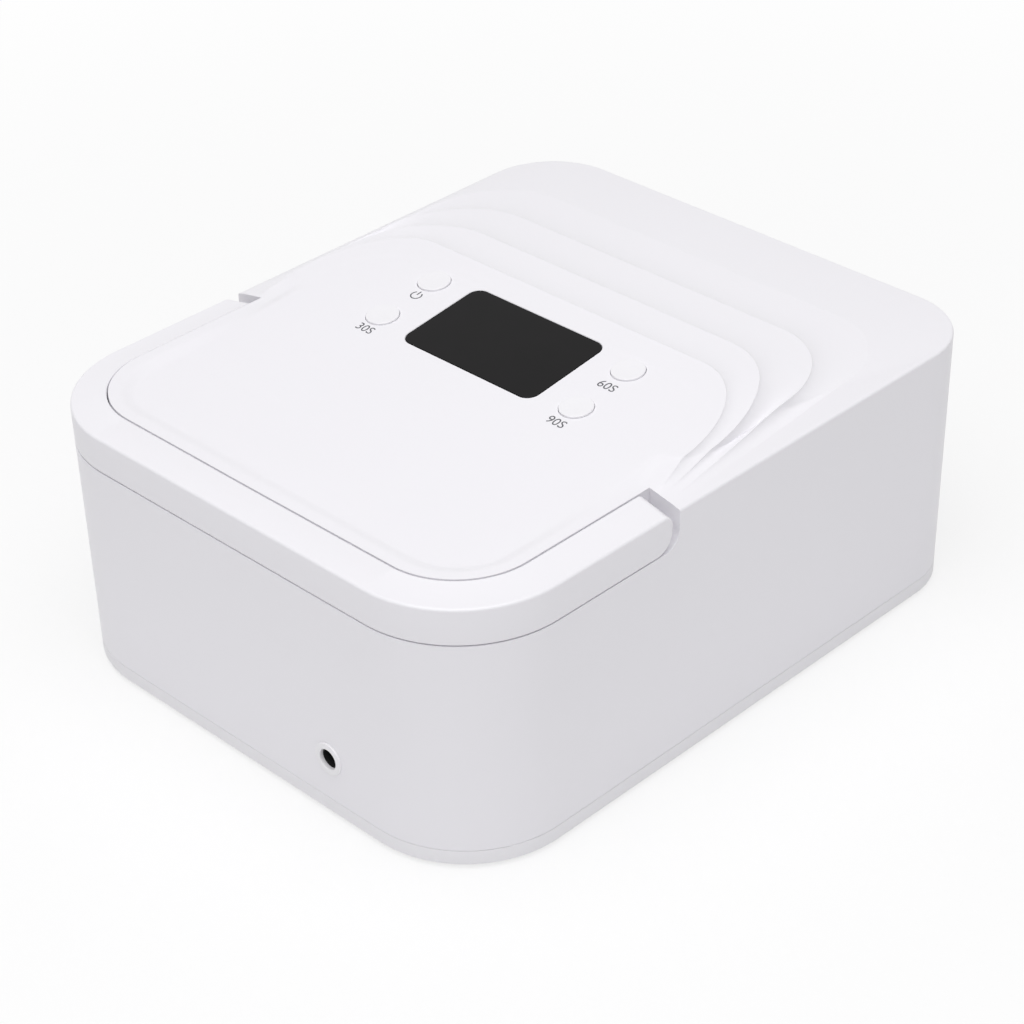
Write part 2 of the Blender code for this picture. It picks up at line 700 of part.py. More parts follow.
def housing_holes():
    """Pilot holes in the posts and running holes for the hinge pins."""
    bm = bmesh.new()
    for place in post_places():
        turned(bm, [(SCREW_HOLE_RADIUS, FLOOR_TOP - OVERRUN), (SCREW_HOLE_RADIUS, FLOOR_TOP + SCREW_LENGTH + GAP)],
               place, SMALL_ROUND_POINTS)
    boss_face = HALF_WIDTH - HANDLE_WIDTH - WALL - HINGE_BOSS_LENGTH
    for side in (1, -1):
        rod_x(bm, side, PIN_RADIUS + PIN_CLEARANCE, boss_face - OVERRUN / 2, HALF_WIDTH - HANDLE_WIDTH + OVERRUN)
    return add_object("housing_holes", bm)


def clip_rooms():
    """Room in the roof for the clips on the hinge pins."""
    bm = bmesh.new()
    boss_face = HALF_WIDTH - HANDLE_WIDTH - WALL - HINGE_BOSS_LENGTH
    for side in (1, -1):
        rod_x(bm, side, CLIP_RADIUS + GAP, boss_face - CLIP_THICKNESS * 4, boss_face)
    return add_object("clip_rooms", bm)


def hinge_bosses():
    """Thickened walls where the handle's pins run."""
    bm = bmesh.new()
    inner = HALF_WIDTH - HANDLE_WIDTH - WALL
    for side in (1, -1):
        rod_x(bm, side, HINGE_BOSS_RADIUS, inner - HINGE_BOSS_LENGTH, inner + WALL / 2, 14)
    return add_object("hinge_bosses", bm)


def board_post_places():
    """Places of the control board's posts in the panel's own plane."""
    x = CONTROL_BOARD_WIDTH / 2 - BOARD_POST_INSET
    y = CONTROL_BOARD_LENGTH / 2 - BOARD_POST_INSET
    return [(x, -y), (-x, -y), (x, y), (-x, y)]


def panel_posts(panel):
    """Posts under the panel for the control board."""
    bm = bmesh.new()
    for place in board_post_places():
        turned(bm, [(BOARD_POST_RADIUS, -CONTROL_BOARD_DEPTH + GAP), (BOARD_POST_RADIUS, -PANEL_THICKNESS / 2)], place, 12)
    return add_object("panel_posts", bm, parent=panel)


def button_places():
    """Button names with their places in the panel's own plane."""
    x, y = BUTTON_SIDE_PLACE, BUTTON_ROW_PLACE
    return (("power", x, -y), ("30", x, y), ("60", -x, -y), ("90", -x, y))


def panel_holes(panel):
    """Tool for the window's seat, the button holes and the board posts' pilots."""
    bm = bmesh.new()
    half_x, half_y = DISPLAY_WIDTH / 2 + GAP / 2, DISPLAY_LENGTH / 2 + GAP / 2
    slab(bm, half_x, half_y, -WINDOW_THICKNESS - GAP, OVERRUN, DISPLAY_CORNER + GAP / 2)
    for name, x, y in button_places():
        radius = BUTTON_RADIUS + BUTTON_CLEARANCE
        turned(bm, [(radius, -CONTROL_BOARD_DEPTH / 2), (radius, OVERRUN)], (x, y))
    for place in board_post_places():
        turned(bm, [(SMALL_SCREW_HOLE_RADIUS, -CONTROL_BOARD_DEPTH - GAP),
                    (SMALL_SCREW_HOLE_RADIUS, -PANEL_THICKNESS * 0.9)], place, SMALL_ROUND_POINTS)
    through = bmesh.new()
    slab(through, half_x - WINDOW_LEDGE, half_y - WINDOW_LEDGE, -CONTROL_BOARD_DEPTH / 2, -WINDOW_THICKNESS,
         DISPLAY_CORNER / 2)
    seat = add_object("panel_holes", bm, parent=panel)
    combine(seat, add_object("window_light_hole", through, parent=panel), "UNION")
    return seat


def socket_hole():
    """Hole for the power socket's threaded barrel in the back wall."""
    bm = bmesh.new()
    turned(bm, [(SOCKET_BARREL + GAP, -WALL - OVERRUN * 2), (SOCKET_BARREL + GAP, OVERRUN)])
    made = add_object("socket_hole", bm)
    face_back(made)
    return made


def face_back(made):
    """Turn a piece drawn along Z so that it looks out of the back wall at the socket."""
    made.location = (SOCKET_SIDE_PLACE, HALF_LENGTH, SOCKET_HEIGHT)
    made.rotation_euler = (-math.pi / 2, 0, 0)


# Panel pieces

CORNER_NAMES = ("front_right", "front_left", "back_right", "back_left")



def make_window(panel):
    """Dark display window and the display module behind it."""
    bm = bmesh.new()
    slab(bm, DISPLAY_WIDTH / 2, DISPLAY_LENGTH / 2, -WINDOW_THICKNESS, 0, DISPLAY_CORNER)
    add_object("display_window", bm, "window_black", panel)
    bm = bmesh.new()
    half_x = DISPLAY_WIDTH / 2 - WINDOW_LEDGE - GAP
    half_y = DISPLAY_LENGTH / 2 - WINDOW_LEDGE - GAP
    slab(bm, half_x, half_y, -CONTROL_BOARD_DEPTH + GAP, -WINDOW_THICKNESS - GAP, DISPLAY_CORNER / 4, points=3)
    add_object("display_module", bm, "module_grey", panel)


def make_buttons(panel):
    """Four caps with flange and stem, each over its own switch and plunger."""
    under = -PANEL_THICKNESS - GAP
    low = under - BUTTON_FLANGE
    foot = low - STEM_LENGTH
    board_top = -CONTROL_BOARD_DEPTH
    switch_top = board_top + GAP + SWITCH_HEIGHT
    for name, x, y in button_places():
        bm = bmesh.new()
        chamfer = BUTTON_PROUD / 2
        flange = BUTTON_RADIUS + BUTTON_CLEARANCE + BUTTON_FLANGE
        turned(bm, [(STEM_RADIUS, foot), (STEM_RADIUS, low), (flange, low), (flange, under), (BUTTON_RADIUS, under),
                    (BUTTON_RADIUS, BUTTON_PROUD - chamfer), (BUTTON_RADIUS - chamfer, BUTTON_PROUD)])
        cap = add_object("button_" + name, bm, "button_white", panel)
        cap.location = (x, y, 0)
        bm = bmesh.new()
        turned(bm, [(PLUNGER_RADIUS, switch_top - SWITCH_HEIGHT / 2), (PLUNGER_RADIUS, foot - GAP)],
               points=SMALL_ROUND_POINTS)
        plunger = add_object("switch_plunger_" + name, bm, "sensor_black", panel)
        plunger.location = (x, y, 0)
        bm = bmesh.new()
        half = SWITCH_SIZE / 2
        slab(bm, half, half, board_top + GAP, switch_top)
        switch = add_object("tact_switch_" + name, bm, "steel", panel)
        switch.location = (x, y, 0)
        bm = bmesh.new()
        turned(bm, [(PLUNGER_RADIUS + GAP, switch_top - SWITCH_HEIGHT / 2 - BUTTON_TRAVEL - GAP),
                    (PLUNGER_RADIUS + GAP, switch_top + OVERRUN)], points=SMALL_ROUND_POINTS)
        well = add_object("plunger_well_" + name, bm, parent=panel)
        well.location = (x, y, 0)
        combine(switch, well, "DIFFERENCE")


def make_control_board(panel):
    """Board under the panel with its screws and buzzer."""
    bm = bmesh.new()
    top = -CONTROL_BOARD_DEPTH
    slab(bm, CONTROL_BOARD_WIDTH / 2, CONTROL_BOARD_LENGTH / 2, top - BOARD_THICKNESS, top, BOARD_POST_INSET / 2, points=3)
    board = add_object("control_board", bm, "board_green", panel)
    holes = bmesh.new()
    head_low = top - BOARD_THICKNESS - GAP - SMALL_HEAD_HEIGHT
    for corner, place in zip(CORNER_NAMES, board_post_places()):
        turned(holes, [(SMALL_SCREW_HOLE_RADIUS, top - BOARD_THICKNESS - OVERRUN),
                       (SMALL_SCREW_HOLE_RADIUS, top + OVERRUN)], place, SMALL_ROUND_POINTS)
        bm = bmesh.new()
        screw_body(bm, head_low, SMALL_HEAD_RADIUS, SMALL_HEAD_HEIGHT, SMALL_SCREW_RADIUS, SMALL_SCREW_LENGTH)
        screw = add_object("board_screw_" + corner, bm, "steel", panel)
        screw.location = (*place, 0)
    combine(board, add_object("board_holes", holes, parent=panel), "DIFFERENCE")
    bm = bmesh.new()
    low = top - BOARD_THICKNESS - GAP - BUZZER_HEIGHT
    place = (CONTROL_BOARD_WIDTH / 4, 0.0)
    turned(bm, [(BUZZER_RADIUS, low), (BUZZER_RADIUS, low + BUZZER_HEIGHT)], place)
    buzzer = add_object("buzzer", bm, "holder_black", panel)
    bm = bmesh.new()
    turned(bm, [(BUZZER_RADIUS / 4, low - OVERRUN), (BUZZER_RADIUS / 4, low + BUZZER_HEIGHT / 2)], place, SMALL_ROUND_POINTS)
    combine(buzzer, add_object("buzzer_mouth", bm, parent=panel), "DIFFERENCE")


# Base


def foot_places():
    """Plan places of the feet."""
    x, y = HALF_WIDTH - FOOT_INSET * 1.6, HALF_LENGTH - FOOT_INSET
    return [(x, -y), (-x, -y), (x, y), (-x, y)]


def make_base():
    """Bottom cover with its rim and locating tongue, its feet and its screws."""
    bm = bmesh.new()
    loft(bm, [level(inset_plan(DRAFT * 2), FOOT_STAND), level(inset_plan(DRAFT), FOOT_STAND + DRAFT),
              level(inset_plan(DRAFT), COVER_TOP)])
    cover = add_object("bottom_cover", bm, "cover_white")
    bm = bmesh.new()
    inner = inset_plan(DRAFT + WALL + GAP + TONGUE_THICKNESS)
    loft(bm, [level(inner, FLOOR_TOP), level(inner, COVER_TOP + OVERRUN)])
    combine(cover, add_object("cover_hollow", bm), "DIFFERENCE")
    combine(cover, tongue(), "UNION")
    combine(cover, charge_posts(), "UNION")
    holes = bmesh.new()
    seats = bmesh.new()
    for corner, place in zip(CORNER_NAMES, post_places()):
        turned(holes, [(SCREW_HOLE_RADIUS, 0.0), (SCREW_HOLE_RADIUS, FLOOR_TOP + OVERRUN)], place, SMALL_ROUND_POINTS)
        turned(seats, [(SCREW_HEAD_RADIUS + GAP, 0.0),
                       (SCREW_HEAD_RADIUS + GAP, FOOT_STAND + SCREW_HEAD_HEIGHT)], place, ROUND_POINTS)
        bm = bmesh.new()
        screw_body(bm, FOOT_STAND - GAP, SCREW_HEAD_RADIUS, SCREW_HEAD_HEIGHT, SCREW_RADIUS, SCREW_LENGTH)
        screw = add_object("bottom_screw_" + corner, bm, "steel")
        screw.location = (*place, 0)
    for corner, place in zip(CORNER_NAMES, foot_places()):
        turned(seats, [(FOOT_RADIUS + GAP, 0.0), (FOOT_RADIUS + GAP, FOOT_STAND + FOOT_RECESS + GAP)], place)
        bm = bmesh.new()
        turned(bm, [(FOOT_RADIUS * 0.9, 0.0), (FOOT_RADIUS, FOOT_STAND / 2), (FOOT_RADIUS, FOOT_STAND + FOOT_RECESS)])
        foot = add_object("rubber_foot_" + corner, bm, "rubber_grey")
        foot.location = (*place, 0)
    combine(cover, add_object("cover_holes", holes), "DIFFERENCE")
    combine(cover, add_object("cover_seats", seats), "DIFFERENCE")
    return cover


def tongue():
    """Upstand of the cover inside the housing's wall, cut away at the hand opening."""
    bm = bmesh.new()
    outer = inset_plan(DRAFT + WALL + GAP)
    inner = inset_plan(DRAFT + WALL + GAP + TONGUE_THICKNESS)
    top = COVER_TOP + TONGUE_HEIGHT
    count = len(level(outer, 0.0))
    loops = []
    for plan, height in ((outer, FLOOR_TOP - GAP), (outer, top), (inner, top), (inner, FLOOR_TOP - GAP)):
        loops.append([bm.verts.new(point) for point in level(plan, height)])
    for low, high in zip(loops, loops[1:] + loops[:1]):
        for i in range(count):
            j = (i + 1) % count
            bm.faces.new((low[i], low[j], high[j], high[i]))
    made = add_object("cover_tongue", bm)
    bm = bmesh.new()
    half = OPENING_WIDTH / 2 + LINER_FLANGE
    prism_y(bm, [(-half, COVER_TOP), (half, COVER_TOP), (half, top + OVERRUN), (-half, top + OVERRUN)],
            -HALF_LENGTH, -HALF_LENGTH + FRONT_CORNER)
    combine(made, add_object("tongue_gap", bm), "DIFFERENCE")
    return made


def charge_board_centre():
    """Plan place of the charging board, under the power socket."""
    return (SOCKET_SIDE_PLACE, HALF_LENGTH - WALL - TONGUE_THICKNESS - GAP * 4 - DRAFT - CHARGE_BOARD_LENGTH / 2)


CHARGE_BOARD_LOW = SOCKET_HEIGHT - SOCKET_BODY_WIDTH / 2 - GAP - BOARD_THICKNESS


def charge_post_places():
    """Places of the two posts that carry the charging board."""
    x, y = charge_board_centre()
    reach = CHARGE_BOARD_WIDTH / 2 - BOARD_POST_INSET
    return [(x - reach, y), (x + reach, y)]


def charge_posts():
    """Posts of the base under the charging board."""
    bm = bmesh.new()
    for place in charge_post_places():
        turned(bm, [(BOARD_POST_RADIUS, FLOOR_TOP - GAP), (BOARD_POST_RADIUS, CHARGE_BOARD_LOW - GAP)], place, 12)
    return add_object("charge_posts", bm)


def make_hand_rest():
    """Steel plate that the hand lies on, with a raised bead round it."""
    half_x = LINER_WIDTH / 2 - LINER_WALL - REST_MARGIN
    front = -HALF_LENGTH + WALL + TONGUE_THICKNESS + DRAFT + REST_MARGIN
    back = LINER_BACK_PLACE - REST_MARGIN
    centre = (0.0, (front + back) / 2)
    low = FLOOR_TOP + GAP
    high = low + REST_THICKNESS
    half_y = (back - front) / 2
    bm = bmesh.new()
    slab(bm, half_x, half_y, low, high, REST_MARGIN * 2, centre)
    plate = add_object("hand_rest_plate", bm, "bright_steel")
    bm = bmesh.new()
    slab(bm, half_x - REST_BEAD_WIDTH, half_y - REST_BEAD_WIDTH, high - REST_BEAD_HEIGHT / 2,
         high + REST_BEAD_HEIGHT, REST_MARGIN, centre)
    rim = add_object("rest_bead", bm)
    bm = bmesh.new()
    slab(bm, half_x - REST_BEAD_WIDTH * 2, half_y - REST_BEAD_WIDTH * 2, high - REST_THICKNESS,
         high + OVERRUN, REST_MARGIN / 2, centre)
    combine(rim, add_object("rest_bead_inside", bm), "DIFFERENCE")
    combine(plate, rim, "UNION")
    return plate


# Lining and lights


def liner_profile(shrink):
    """(x, z) outline of the lining, moved inwards: upright sides, sloping shoulders, flat roof."""
    low = FLOOR_TOP + GAP
    half = LINER_WIDTH / 2
    roof = LINER_ROOF_WIDTH / 2
    lean = math.atan2(half - roof, LINER_ROOF_HEIGHT - LINER_SHOULDER)
    at_shoulder = (half - shrink, LINER_SHOULDER - shrink * math.tan(lean / 2))
    at_roof = (roof - shrink * math.tan(math.pi / 4 - lean / 2), LINER_ROOF_HEIGHT - shrink)
    points = [(half - shrink, low), at_shoulder, at_roof]
    return points + [(-x, z) for x, z in reversed(points)]


def shoulder():
    """Middle, direction and outward normal of the right shoulder's inner face, in (x, z)."""
    inner = liner_profile(LINER_WALL)
    a, b = Vector(inner[1]), Vector(inner[2])
    along = (b - a).normalized()
    return (a + b) / 2, along, Vector((along.y, -along.x))


def roof_bead_places():
    """Places of the beads in the lining's roof."""
    middle = (LINER_BACK_PLACE - HALF_LENGTH) / 2
    places = []
    for row in range(ROOF_BEAD_ROWS):
        for column in range(ROOF_BEAD_COLUMNS):
            x = (column - (ROOF_BEAD_COLUMNS - 1) / 2) * ROOF_BEAD_COLUMN_PITCH
            places.append((x, middle + (row - (ROOF_BEAD_ROWS - 1) / 2) * ROOF_BEAD_ROW_PITCH))
    return places


def side_bead_places():
    """Places along Y of the beads in each shoulder."""
    middle = (LINER_BACK_PLACE - HALF_LENGTH) / 2
    return [middle + (i - (SIDE_BEADS - 1) / 2) * ROOF_BEAD_ROW_PITCH for i in range(SIDE_BEADS)]


def bead_frames():
    """Matrices that carry a bead drawn along Z onto the lining: Z points into the chamber."""
    frames = []
    inner_roof = LINER_ROOF_HEIGHT - LINER_WALL
    down = Matrix.Rotation(math.pi, 4, "X")
    for x, y in roof_bead_places():
        frames.append(Matrix.Translation((x, y, inner_roof)) @ down)
    middle, along, normal = shoulder()
    for side in (1, -1):
        inwards = Vector((-side * normal.x, 0, -normal.y))
        turn = Vector((0, 0, 1)).rotation_difference(inwards).to_matrix().to_4x4()
        for y in side_bead_places():
            frames.append(Matrix.Translation((side * middle.x, y, middle.y)) @ turn)
    return frames


def add_turned(bm, profile, frame, points):
    """A turned solid carried to a place by a matrix."""
    piece = bmesh.new()
    turned(piece, profile, points=points)
    piece.transform(frame)
    mesh = bpy.data.meshes.new("carried")
    piece.to_mesh(mesh)
    piece.free()
    bm.from_mesh(mesh)
    bpy.data.meshes.remove(mesh)


def make_liner():
    """Reflecting lining of the hand chamber, open at the front and underneath."""
    front = -HALF_LENGTH + WALL * 2
    bm = bmesh.new()
    prism_y(bm, liner_profile(0.0), front, LINER_BACK_PLACE + LINER_WALL)
    liner = add_object("reflector_liner", bm, "liner_white", smooth_degrees=20)
    bm = bmesh.new()
    inner = liner_profile(LINER_WALL)
    inner = [(x, z - OVERRUN if z < LINER_SHOULDER / 2 else z) for x, z in inner]
    prism_y(bm, inner, front - OVERRUN, LINER_BACK_PLACE)
    combine(liner, add_object("liner_inside", bm), "DIFFERENCE")
    bm = bmesh.new()
    behind = -HALF_LENGTH + FRONT_CORNER / 2
    step = COVER_TOP + GAP
    half = LINER_WIDTH / 2 + OVERRUN
    prism_y(bm, [(-half, 0.0), (half, 0.0), (half, step), (-half, step)], front - OVERRUN, behind)
    combine(liner, add_object("liner_step", bm), "DIFFERENCE")
    combine(liner, liner_lugs(), "UNION")
    bm = bmesh.new()
    radius = BEAD_RADIUS + BEAD_CLEARANCE
    for frame in bead_frames():
        add_turned(bm, [(radius, -LINER_WALL - OVERRUN / 2), (radius, OVERRUN / 2)], frame, SMALL_ROUND_POINTS)
    sensor = Matrix.Translation((0, SENSOR_INSET - HALF_LENGTH, LINER_ROOF_HEIGHT - LINER_WALL)) @ Matrix.Rotation(math.pi, 4, "X")
    add_turned(bm, [(SENSOR_RADIUS + GAP, -LINER_WALL - OVERRUN / 2), (SENSOR_RADIUS + GAP, OVERRUN / 2)],
               sensor, SMALL_ROUND_POINTS)
    for x, y in lug_places():
        turned(bm, [(SMALL_SCREW_HOLE_RADIUS, FLOOR_TOP - GAP), (SMALL_SCREW_HOLE_RADIUS, FLOOR_TOP + LINER_LUG)],
               (x, y), SMALL_ROUND_POINTS)
    combine(liner, add_object("liner_holes", bm), "DIFFERENCE")
    bm = bmesh.new()
    turned(bm, [(SENSOR_RADIUS, -LINER_WALL - GAP), (SENSOR_RADIUS, BEAD_PROUD / 4), (SENSOR_RADIUS / 2, BEAD_PROUD / 2)],
           points=SMALL_ROUND_POINTS)
    bm.transform(sensor)
    add_object("hand_sensor", bm, "sensor_black")
    return liner


def lug_places():
    """Screw places of the lining's lugs on the base."""
    x = LINER_WIDTH / 2 + LINER_LUG / 2
    reach = (LINER_BACK_PLACE + HALF_LENGTH) / 2 - LINER_LUG * 4
    middle = (LINER_BACK_PLACE - HALF_LENGTH) / 2
    return [(side * x, middle + end * reach) for end in (-1, 1) for side in (1, -1)]


def liner_lugs():
    """Lugs at the lining's foot that the screws hold down."""
    bm = bmesh.new()
    half = LINER_LUG / 2
    for x, y in lug_places():
        side = math.copysign(1.0, x)
        slab(bm, half + LINER_WALL / 2, half, FLOOR_TOP + GAP, FLOOR_TOP + GAP + LINER_LUG_THICKNESS,
             centre=(x - side * LINER_WALL / 2, y))
    return add_object("liner_lugs", bm)


def make_liner_screws(cover):
    """Screws that run down through the lugs into short posts of the base."""
    holes = bmesh.new()
    top = FLOOR_TOP + GAP + LINER_LUG_THICKNESS + GAP
    depth = BASE_THICKNESS * 0.6
    for corner, place in zip(CORNER_NAMES, lug_places()):
        profile = [(SMALL_SCREW_RADIUS, FLOOR_TOP - depth), (SMALL_SCREW_RADIUS, top), (SMALL_HEAD_RADIUS, top),
                   (SMALL_HEAD_RADIUS, top + SMALL_HEAD_HEIGHT / 2), (SMALL_HEAD_RADIUS * 0.8, top + SMALL_HEAD_HEIGHT)]
        bm = bmesh.new()
        turned(bm, profile, points=SMALL_ROUND_POINTS)
        screw = add_object("liner_screw_" + corner, bm, "steel")
        screw.location = (*place, 0)
        turned(holes, [(SMALL_SCREW_HOLE_RADIUS, FLOOR_TOP - depth - GAP), (SMALL_SCREW_HOLE_RADIUS, FLOOR_TOP + OVERRUN)],
               place, SMALL_ROUND_POINTS)
    combine(cover, add_object("lug_pilot_holes", holes), "DIFFERENCE")


def make_lights():
    """Boards on the outside of the lining, with the beads that reach through it."""
    half_y = ROOF_BEAD_ROW_PITCH * (ROOF_BEAD_ROWS - 1) / 2 + LED_BOARD_MARGIN
    half_x = ROOF_BEAD_COLUMN_PITCH * (ROOF_BEAD_COLUMNS - 1) / 2 + LED_BOARD_MARGIN
    low = -LINER_WALL - GAP - LED_BOARD_THICKNESS
    profile = [(BEAD_RADIUS, low + LED_BOARD_THICKNESS / 2), (BEAD_RADIUS, GAP),
               (BEAD_RADIUS * 0.85, BEAD_PROUD * 0.6), (BEAD_RADIUS * 0.4, BEAD_PROUD)]
    frames = bead_frames()
    roof_count = ROOF_BEAD_ROWS * ROOF_BEAD_COLUMNS
    groups = (("top", frames[:roof_count], half_x), ("right", frames[roof_count:-SIDE_BEADS], LED_BOARD_MARGIN),
              ("left", frames[-SIDE_BEADS:], LED_BOARD_MARGIN))
    for name, places, half in groups:
        middle = sum((place.translation for place in places), Vector()) / len(places)
        bm = bmesh.new()
        slab(bm, half, half_y, low, low + LED_BOARD_THICKNESS)
        turn = places[0].to_3x3().to_4x4()
        bm.transform(Matrix.Translation(middle) @ turn)
        board = add_object("led_board_" + name, bm, "board_white")
        bm = bmesh.new()
        for place in places:
            add_turned(bm, profile, place, SMALL_ROUND_POINTS)
        combine(board, add_object("beads_" + name, bm, "bead_yellow"), "UNION")


# Power


def make_socket():
    """Power socket: bezel and nut on the wall, barrel body with a centre pin."""
    bm = bmesh.new()
    proud = BEZEL_PROUD
    tube(bm, [(BEZEL_RADIUS, -proud), (BEZEL_RADIUS, 0.0), (SOCKET_BORE + GAP, 0.0), (SOCKET_BORE, -proud)])
    face_back(add_object("socket_bezel", bm, "bezel_white"))
    bm = bmesh.new()
    inner = -WALL - DRAFT - GAP * 2 - NUT_THICKNESS
    half = SOCKET_BODY_WIDTH / 2
    body_low = inner - GAP - SOCKET_BODY_DEPTH
    slab(bm, half, half, body_low, inner - GAP)
    body = add_object("dc_socket", bm, "socket_black")
    face_back(body)
    bm = bmesh.new()
    turned(bm, [(SOCKET_BARREL, inner - GAP * 2), (SOCKET_BARREL, -proud - GAP)])
    barrel = add_object("socket_barrel", bm)
    face_back(barrel)
    combine(body, barrel, "UNION")
    bm = bmesh.new()
    floor = body_low + HOLDER_WALL
    turned(bm, [(SOCKET_BORE, floor), (SOCKET_BORE, OVERRUN)])
    bore = add_object("socket_bore", bm)
    face_back(bore)
    combine(body, bore, "DIFFERENCE")
    bm = bmesh.new()
    tip = floor + GAP + SOCKET_PIN_LENGTH
    turned(bm, [(SOCKET_PIN_RADIUS, floor + GAP), (SOCKET_PIN_RADIUS, tip - SOCKET_PIN_RADIUS / 2),
                (SOCKET_PIN_RADIUS / 2, tip)], points=SMALL_ROUND_POINTS)
    face_back(add_object("socket_pin", bm, "brass"))
    bm = bmesh.new()
    turned(bm, [(NUT_RADIUS, inner), (NUT_RADIUS, inner + NUT_THICKNESS)], points=6)
    nut = add_object("socket_nut", bm, "steel")
    face_back(nut)
    bm = bmesh.new()
    turned(bm, [(SOCKET_BARREL + GAP, inner - OVERRUN), (SOCKET_BARREL + GAP, inner + NUT_THICKNESS + OVERRUN)])
    thread = add_object("nut_bore", bm)
    face_back(thread)
    combine(nut, thread, "DIFFERENCE")


def make_charge_board():
    """Charging board on its two posts under the socket."""
    centre = charge_board_centre()
    bm = bmesh.new()
    slab(bm, CHARGE_BOARD_WIDTH / 2, CHARGE_BOARD_LENGTH / 2, CHARGE_BOARD_LOW, CHARGE_BOARD_LOW + BOARD_THICKNESS,
         centre=centre)
    add_object("charge_board", bm, "board_green")


CELL_PLACE = LINER_BACK_PLACE + LINER_WALL + HOLDER_WALL + CELL_RADIUS + GAP * 3
HOLDER_LOW = FLOOR_TOP + GAP
CELL_LOW = HOLDER_LOW + HOLDER_WALL + GAP + CELL_RADIUS
POCKET_LENGTH = CELL_LENGTH + CELL_CAP_HEIGHT + 2 * GAP
HOLDER_HALF = POCKET_LENGTH + HOLDER_WALL * 1.5
HOLDER_TOP = CELL_LOW + CELL_RADIUS + GAP


def make_battery():
    """Holder with two pockets, a cell in each, and the protection board on top."""
    bm = bmesh.new()
    half_y = CELL_RADIUS + GAP + HOLDER_WALL
    slab(bm, HOLDER_HALF, half_y, HOLDER_LOW, HOLDER_TOP, centre=(0, CELL_PLACE))
    holder = add_object("battery_holder", bm, "holder_black")
    lugs = bmesh.new()
    holes = bmesh.new()
    pockets = bmesh.new()
    for side, name in ((1, "right"), (-1, "left")):
        x = side * (HOLDER_WALL / 2 + POCKET_LENGTH / 2)
        slab(pockets, POCKET_LENGTH / 2, half_y - HOLDER_WALL, HOLDER_LOW + HOLDER_WALL, HOLDER_TOP + OVERRUN,
             centre=(x, CELL_PLACE))
        lug = side * (HOLDER_HALF + HOLDER_LUG / 2 - HOLDER_WALL / 2)
        slab(lugs, HOLDER_LUG / 2 + HOLDER_WALL / 4, HOLDER_LUG / 2, HOLDER_LOW, HOLDER_LOW + HOLDER_WALL, centre=(lug, CELL_PLACE))
        place = (side * (HOLDER_HALF + HOLDER_LUG / 2), CELL_PLACE)
        turned(holes, [(SMALL_SCREW_HOLE_RADIUS, HOLDER_LOW - OVERRUN / 2), (SMALL_SCREW_HOLE_RADIUS, HOLDER_LOW + OVERRUN)],
               place, SMALL_ROUND_POINTS)
        top = HOLDER_LOW + HOLDER_WALL + GAP
        bm = bmesh.new()
        turned(bm, [(SMALL_SCREW_RADIUS, HOLDER_LOW - OVERRUN / 2 + GAP), (SMALL_SCREW_RADIUS, top), (SMALL_HEAD_RADIUS, top),
                    (SMALL_HEAD_RADIUS, top + SMALL_HEAD_HEIGHT)], points=SMALL_ROUND_POINTS)
        screw = add_object("holder_screw_" + name, bm, "steel")
        screw.location = (*place, 0)
    combine(holder, add_object("holder_pockets", pockets), "DIFFERENCE")
    combine(holder, add_object("holder_lugs", lugs), "UNION")
    hole_tool = add_object("holder_holes", holes)
    combine(holder, hole_tool, "DIFFERENCE")
    combine(bpy.data.objects["bottom_cover"], hole_tool, "DIFFERENCE")
    for side, name in ((1, "right"), (-1, "left")):
        bm = bmesh.new()
        turned(bm, [(CELL_RADIUS, 0.0), (CELL_RADIUS, CELL_LENGTH), (CELL_CAP_RADIUS, CELL_LENGTH),
                    (CELL_CAP_RADIUS, CELL_LENGTH + CELL_CAP_HEIGHT)], points=18)
        cell = add_object("battery_cell_" + name, bm, "cell_blue")
        cell.location = (side * (HOLDER_WALL / 2 + GAP), CELL_PLACE, CELL_LOW)
        cell.rotation_euler = (0, side * math.pi / 2, 0)
    bm = bmesh.new()
    low = HOLDER_TOP + GAP
    slab(bm, POCKET_LENGTH / 2, half_y, low, low + BOARD_THICKNESS, centre=(0, CELL_PLACE))
    add_object("battery_board", bm, "board_green")
    return low + BOARD_THICKNESS


def lead(name, slot, points, leaves, arrives):
    """A wire through hand-placed points, square to the board at either end.

    leaves and arrives are 1 where the wire stands up from that end's board, -1 where it hangs.
    """
    curve = bpy.data.curves.new(name, "CURVE")
    curve.dimensions = "3D"
    curve.bevel_depth = LEAD_RADIUS
    curve.bevel_resolution = 1
    curve.resolution_u = 4
    curve.use_fill_caps = True
    spline = curve.splines.new("BEZIER")
    spline.bezier_points.add(len(points) - 1)
    for knot, point in zip(spline.bezier_points, points):
        knot.co = point
        knot.handle_left_type = "AUTO"
        knot.handle_right_type = "AUTO"
    for knot, rise in ((spline.bezier_points[0], leaves), (spline.bezier_points[-1], arrives)):
        knot.handle_left_type = "FREE"
        knot.handle_right_type = "FREE"
        away = Vector((0, 0, rise * LEAD_BEND))
        inner = knot == spline.bezier_points[0]
        knot.handle_right = knot.co + (away if inner else -away)
        knot.handle_left = knot.co + (-away if inner else away)
    made = bpy.data.objects.new(name, curve)
    bpy.context.scene.collection.objects.link(made)
    curve.materials.append(material(slot))
    return made


